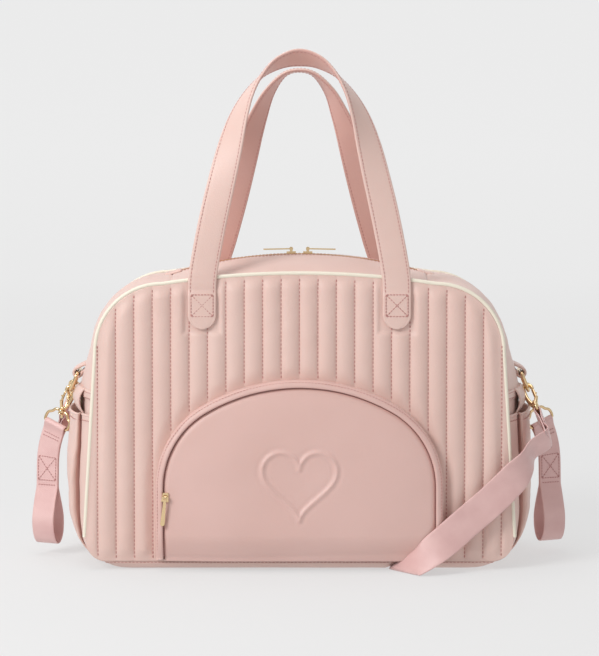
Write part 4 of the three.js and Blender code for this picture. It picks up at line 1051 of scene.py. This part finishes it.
def swivel_ring(name, at, half, body, node):
    """A collar that turns on the clasp's post, and the ring that holds the strap."""
    pile = Pile()
    collar = [(2.05, -21.1), (2.9, -21.1), (3.3, -21.5), (3.4, -22.2), (3.4, -23.2), (3.3, -23.8)]
    pile.placed(at, lathe_data(collar + [(2.9, -24.2), (2.05, -24.2), (2.05, -21.1)]))
    w = half + 2.0
    right = [(3.2, -22.3), (7, -23.4), (w - 4.4, -26.4), (w - 1.2, -28.6), (w, -31.4), (w, -34.8)]
    right += [(w - 0.9, -36.8), (w - 3, SWIVEL_BAR), (w * 0.4, SWIVEL_BAR), (0, SWIVEL_BAR)]
    path = [(0, y, z) for y, z in right] + [(0, -y, z) for y, z in right[-2::-1]]
    pile.placed(at, tube_data(spline(path, 5), 1.4, 14))
    finished(pile.object(name, GOLD), "gold", body, node)


# ---- straps on the hardware ----
def webbing_section(half, thick):
    """The section of flat webbing with soft edges."""
    return flat_section((-1, -0.97, -0.9, -0.6, -0.2), (0.15, 0.4, 0.5, 0.5, 0.5)) * [half, thick]


def webbing_piece(name, at, line, half, thick, ring=False, shift=0.0):
    """Webbing carried along a line in its own plane, then put in place; shift moves each ring sideways."""
    section = webbing_section(half, thick)
    count, around = len(line), len(section)
    t = tangents(line, ring)
    wide = np.tile([0.0, 1.0, 0.0], (count, 1))
    verts = carried(line, wide, np.cross(t, wide), section)
    verts[..., 0] += np.reshape(shift, (-1, 1))
    faces = quads(count, around, True, True) if ring else capped(count, around)
    share = np.linspace(0, half / 5, around // 2)
    uv = along_and_across(travel(line) / 10, np.concatenate([share, share[::-1]]))
    return new_mesh(name, at(verts.reshape(-1, 3)), faces, WEBBING, uv)


def drape(bar, wide, plumb_wide):
    """Carries a strap modelled hanging down -Z onto its bar; it settles from the bar's tilt to plumb."""
    plumb = np.array([0, 0, -1.0])
    start = unit(plumb + wide * wide[2])

    def directions(z):
        k = smooth(4, 46, -z)[:, None]
        down = unit(start * (1 - k) + plumb * k)
        across = wide * (1 - k) + plumb_wide * k
        across = unit(across - down * np.sum(across * down, 1, keepdims=True))
        return down, across, np.cross(across, -down)

    step = 0.5
    depth = np.arange(0, 125, step)
    steps = directions(-(depth[:-1] + step / 2))[0] * step
    path = np.concatenate([[[0, 0, 0]], np.cumsum(steps, axis=0)]) + bar

    def settle(points):
        points = np.asarray(points, float).reshape(-1, 3)
        z = np.minimum(points[:, 2], 0)
        centre = np.stack([np.interp(-z, depth, path[:, k]) for k in range(3)], 1)
        centre -= start * np.maximum(points[:, 2], 0)[:, None]
        _, across, out = directions(z)
        return centre + out * points[:, :1] + across * points[:, 1:2]

    return settle


def lean(z):
    """The pram strap's loop hangs a little off its sewn part."""
    return 1.5 * smooth(-20, -75, z)


def pram_strap(tag, side, at):
    """A strap that goes round the bar, doubled and sewn, and then opens into a loop."""
    down_side = [(0.95, -6.5)] + [(0.85, z) for z in (-14, -24, -36, -48, -58)]
    down_side += [(1.1, -62.5), (2.9, -68), (5.5, -75.5), (8.3, -84.3), (9.9, -91), (10.3, -97.5)]
    down_side += [(9.6, -105), (7.5, -111.5), (4.3, -115.9), (2, -117.3), (0, -117.6)]
    down_side = np.array(down_side)
    eye = arc(0, 0, STRAP_EYE, -28, 208, 12)
    line = spline(np.concatenate([eye, down_side * [-1, 1], down_side[-2::-1]]), 5, closed=True)
    line = in_plane(line + np.stack([lean(line[:, 1]), 0 * line[:, 1]], 1))
    z = line[:, 2]
    soft = 0.5 * fractal(z / 22, side + 0 * z, 44, 2) * smooth(-62, -80, z)
    body = f"pram_loop_{tag}"
    strap = webbing_piece(f"pram_webbing_{tag}", at, line, PRAM_HALF, 1.35, True, soft)
    finished(strap, "webbing", body, f"pram_strap_{tag}")
    pile = Pile()
    edge, low, high = PRAM_HALF - 2.2, -56, -33
    lines = [((-edge, z), (edge, z)) for z in (-10, -13.5, -60.5)]
    lines += boxed_cross([(-edge, high), (edge, high), (edge, low), (-edge, low)])
    for x in (-1.66, 1.66):
        for (y0, z0), (y1, z1) in lines:
            ys, zs = np.linspace(y0, y1, 12), np.linspace(z0, z1, 12)
            pile.stitches(at(np.stack([x + lean(zs), ys, zs], 1)), pitch=2.9, length=2.2, radius=0.42)
    finished(pile.object(f"pram_stitch_{tag}", WEB_THREAD), "webbing", body)


def strap_end(tag, at):
    """The folded end of the shoulder strap, sewn back on itself."""
    back = [(-1.0, -27.5), (-1.05, -20), (-1.0, -12), (-1.3, -7), (-2.5, -1.6)]
    front = [(2.5, -1.6), (1.3, -7), (1.0, -12), (1.0, -16.4)]
    line = in_plane(spline(np.concatenate([back, arc(0, 0, STRAP_EYE, 180, 0, 9), front]), 5))
    body = f"shoulder_end_{tag}"
    fold = webbing_piece(f"strap_fold_{tag}", at, line, STRAP_HALF, 1.4)
    finished(fold, "webbing", body, f"strap_end_{tag}")
    pile = Pile()
    lines = [((-13, -8.5), (13, -8.5)), ((-13, -14), (13, -14))]
    lines += [((-12.5, -9), (12.5, -14)), ((-12.5, -14), (12.5, -9))]
    for x in (-1.85, 1.85):
        for a, b in lines:
            pile.stitches(at([(x, *a), (x, *b)]), pitch=2.6, length=2.0, radius=0.3)
    finished(pile.object(f"strap_stitch_{tag}", WEB_THREAD), "webbing", body)


for tag, side in SIDES:
    place = hardware(side)
    verts, faces = tube_data(d_ring_route(), 1.7, 16, ring=True)
    verts = Frame(place["pivot"], place["down"], place["across"])(verts)
    wire = new_mesh(f"d_ring_wire_{tag}", verts, faces, GOLD)
    finished(wire, "gold", f"side_ring_{tag}", f"d_ring_{tag}")
    clasp_pieces("pram", tag, Frame(place["pramAt"], place["pramDown"], place["across"]))
    shoulder = Frame(place["corner"], place["pull"], place["wide"])
    clasp_pieces("shoulder", tag, shoulder)
    swivel_ring(f"shoulder_swivel_{tag}", shoulder, STRAP_HALF, f"shoulder_end_{tag}", f"shoulder_ring_{tag}")
    strap_end(tag, Frame(place["shoulderBar"], place["pull"], place["wide"]))
    turned = np.array([math.sin(PRAM_TURN), side * math.cos(PRAM_TURN), 0])
    pram = Frame(place["pramAt"], place["pramDown"], turned)
    swivel_ring(f"pram_swivel_{tag}", pram, PRAM_HALF, f"pram_loop_{tag}", f"pram_ring_{tag}")
    pram_strap(tag, side, drape(pram([0, 0, SWIVEL_BAR]), pram.axes[1], turned))

# ---- the shoulder strap ----
R, L = hardware(1), hardware(-1)
run_from, run_to = np.array([64, 93, 26.0]), np.array([-150, 89, 76.0])
run_dir = unit(run_to - run_from)
run_wide = -unit(np.array([-run_dir[2], 0, run_dir[0]]))


def leave(place, distance):
    return place["shoulderBar"] + place["pull"] * distance


# Stations from the right end under the bag to the left end: the middle, the width's direction, and the half
# width where it isn't STRAP_HALF.
STRAP_LINE = [
    (leave(R, 16.8), R["wide"], 0),
    (leave(R, 26), R["wide"], 13.4),
    ((222, -72, 114), (0.25, 0.6, -0.75), 12.6),
    ((215.5, -83, 103.5), (0.45, 0.42, -0.78), 13.2),
    ((206, -90, 92.5), (0.58, 0.2, -0.79), 0),
    ((193, -92.5, 79), (0.62, 0.05, -0.78), 0),
    ((178, -94.5, 65), (0.63, 0, -0.77), 0),
    ((160, -97, 50), (0.63, 0, -0.77), 0),
    ((141, -102, 34), (0.6, -0.15, -0.78), 0),
    ((125, -107, 22), (0.42, -0.5, -0.75), 0),
    ((111, -106, 11), (0.25, -0.74, -0.6), 0),
    ((98, -99, 1.2), (0.636, -0.772, 0), 20.2),
    ((101.2, -78, 1.15), (0.99, -0.15, 0), 0),
    ((106.1, -45, 1.1), (0.99, -0.15, 0), 0),
    ((112.9, 0, 1.1), (0.99, -0.15, 0), 0),
    ((119.6, 45, 1.1), (0.99, -0.15, 0), 0),
    ((125.2, 82, 1.15), (0.99, -0.15, 0), 0),
    ((128.5, 104, 1.2), (0.708, -0.706, 0), 18.6),
    ((111, 101.5, 8.5), (0.2, -0.88, 0.42), 0),
    ((91, 97.5, 17.5), (0.25, -0.5, 0.83), 0),
    (run_from, run_wide, 0),
    (run_from + (run_to - run_from) * 0.33, run_wide, 0),
    (run_from + (run_to - run_from) * 0.67, run_wide, 0),
    (run_to, run_wide, 0),
    ((-172, 88, 82.5), (0.3, -0.05, 0.95), 0),
    ((-192, 87.5, 90), (0.42, -0.12, 0.9), 0),
    ((-206.5, 88, 98), (0.48, -0.25, 0.83), 0),
    ((-216, 81.5, 106.5), (0.4, -0.5, 0.78), 0),
    ((-222, 71, 116.5), (0.28, -0.62, 0.72), 12.6),
    (leave(L, 26), -L["wide"], 13.4),
    (leave(L, 16.8), -L["wide"], 0),
]
FRONT_FOLD, MIDDLE, BACK_FOLD = 11, 14, 17
centres, wides = (np.array([station[k] for station in STRAP_LINE], float) for k in (0, 1))
halves = np.array([half or STRAP_HALF for _, _, half in STRAP_LINE], float)
# At the folds the edges run slantwise across the webbing, so they keep their direction.
t = tangents(centres)
for k in range(len(STRAP_LINE)):
    if k not in (FRONT_FOLD, BACK_FOLD):
        wides[k] -= t[k] * wides[k].dot(t[k])
wides = unit(wides)
low_edge, high_edge = centres - wides * halves[:, None], centres + wides * halves[:, None]
SHARES = np.array([0, 0.03, 0.1, 0.3, 0.5, 0.7, 0.9, 0.97, 1])
THICKNESS = np.array([0.35, 0.85, 1, 1, 1, 1, 1, 0.85, 0.35])


def strap_piece(name, first, last, fold, thick=1.5):
    """Webbing between two stations with one sharp fold; both edges are smooth curves up to the fold."""
    rows, normals = [], []
    for a, b in ((first, fold), (fold, last)):
        low, high = spline(low_edge[a : b + 1], 9), spline(high_edge[a : b + 1], 9)
        sheet = low[:, None] * (1 - SHARES)[None, :, None] + high[:, None] * SHARES[None, :, None]
        across = np.repeat((high - low)[:, None], len(SHARES), 1)
        normal = unit(np.cross(np.gradient(sheet, axis=0), across))
        rows.append(sheet[len(rows) :])
        normals.append(normal[len(normals) :])
    sheet, normal = np.concatenate(rows), np.concatenate(normals)
    normal[len(rows[0]) - 1] = [0, 0, -1]
    wave = 0.35 * fractal(np.arange(len(sheet))[:, None] / 14.0, np.arange(len(SHARES))[None, :] / 6.0, 77, 2)
    wave = wave * smooth(3.0, 12.0, sheet[..., 2])
    sheet = sheet + normal * wave[..., None]
    half = normal * (thick / 2 * THICKNESS)[None, :, None]
    uv = along_and_across(travel(sheet[:, len(SHARES) // 2]) / 10, SHARES * STRAP_HALF / 5)
    obj = shell(name, sheet + half, sheet - half, WEBBING, uv=uv)
    return obj


right_run = strap_piece("shoulder_webbing_right", 0, MIDDLE, FRONT_FOLD)
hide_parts("shoulder_strap")
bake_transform(right_run)
left_run = strap_piece("shoulder_webbing_left", MIDDLE, len(STRAP_LINE) - 1, BACK_FOLD)
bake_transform(left_run)

TOP_ZIP = [f"zip_{part}_{tag}" for part in ("slider", "pull") for tag, _ in SIDES]
for name in ("strap_keeper", "pocket_slider", "pocket_pull", *TOP_ZIP):
    dress(name, GOLD, "soften", 0.00025, limit_method="ANGLE")


# ---- camera, light and floor ----
def staged(name, data, place, target):
    """Puts a camera or a light in its place, turned towards its target; in metres."""
    obj = bpy.data.objects.new(name, data)
    obj.location = place
    x, y, z = np.array(place, float) - np.array(target, float)
    obj.rotation_euler = (math.atan2(math.hypot(x, y), z), 0, math.atan2(x, -y))
    bpy.context.scene.collection.objects.link(obj)
    return obj


camera_data = bpy.data.cameras.new("camera")
camera_data.lens, camera_data.sensor_width = 146.6, 36
bpy.context.scene.camera = staged("camera", camera_data, (0, -2.585, 0.49), (0, -0.085, 0.231))
LIGHTS = {
    "key": ((-1.7, -1.6, 1.7), (1.0, 1.0), 45),
    "fill": ((1.9, -1.9, 1.0), (1.6, 1.6), 2.5),
    "top": ((-0.3, 0.1, 2.4), (1.8, 1.4), 17),
}
for name, (place, size, power) in LIGHTS.items():
    data = bpy.data.lights.new(name, "AREA")
    data.shape, data.energy = "RECTANGLE", power
    data.size, data.size_y = size
    staged(name, data, place, (0, 0, 0.2))

world = bpy.data.worlds.new("studio")
world.use_nodes = True
background = world.node_tree.nodes["Background"].inputs
background["Color"].default_value, background["Strength"].default_value = (1, 1, 1, 1), 0.46
bpy.context.scene.world = world
bpy.context.scene.view_settings.view_transform = "Standard"

# The paper glows a little, more towards the back, so that it stays evenly pale.
PAPER = {"Base Color": (0.27, 0.27, 0.27, 1), "Roughness": 0.95, "Specular IOR Level": 0.1}
paper = Look("studio_paper", PAPER | {"Emission Color": (1, 1, 1, 1)})
split, lift = paper.node("ShaderNodeSeparateXYZ"), paper.node("ShaderNodeMapRange")
for key, value in (("From Min", 0.3), ("From Max", 4.2), ("To Min", 0.52), ("To Max", 0.66)):
    lift.inputs[key].default_value = value
paper.links.new(paper.node("ShaderNodeTexCoord").outputs["Object"], split.inputs["Vector"])
paper.links.new(split.outputs["Y"], lift.inputs["Value"])
paper.links.new(lift.outputs["Result"], paper.bsdf.inputs["Emission Strength"])
# From the front, in metres: a floor, a round sweep and a wall, a hair below the bag.
sweep = arc(3.2, 2.2, 2.2, -90, 0, 25)
profile = np.concatenate([[(-14.0, 0.0)], sweep, [(5.4, 7.0)]]) * 1000 - [0, 0.02]
sheet = np.array([np.insert(profile, 0, x, axis=1) for x in (-14000, 14000)])
new_mesh("backdrop", sheet, quads(2, len(profile)), paper.mat)
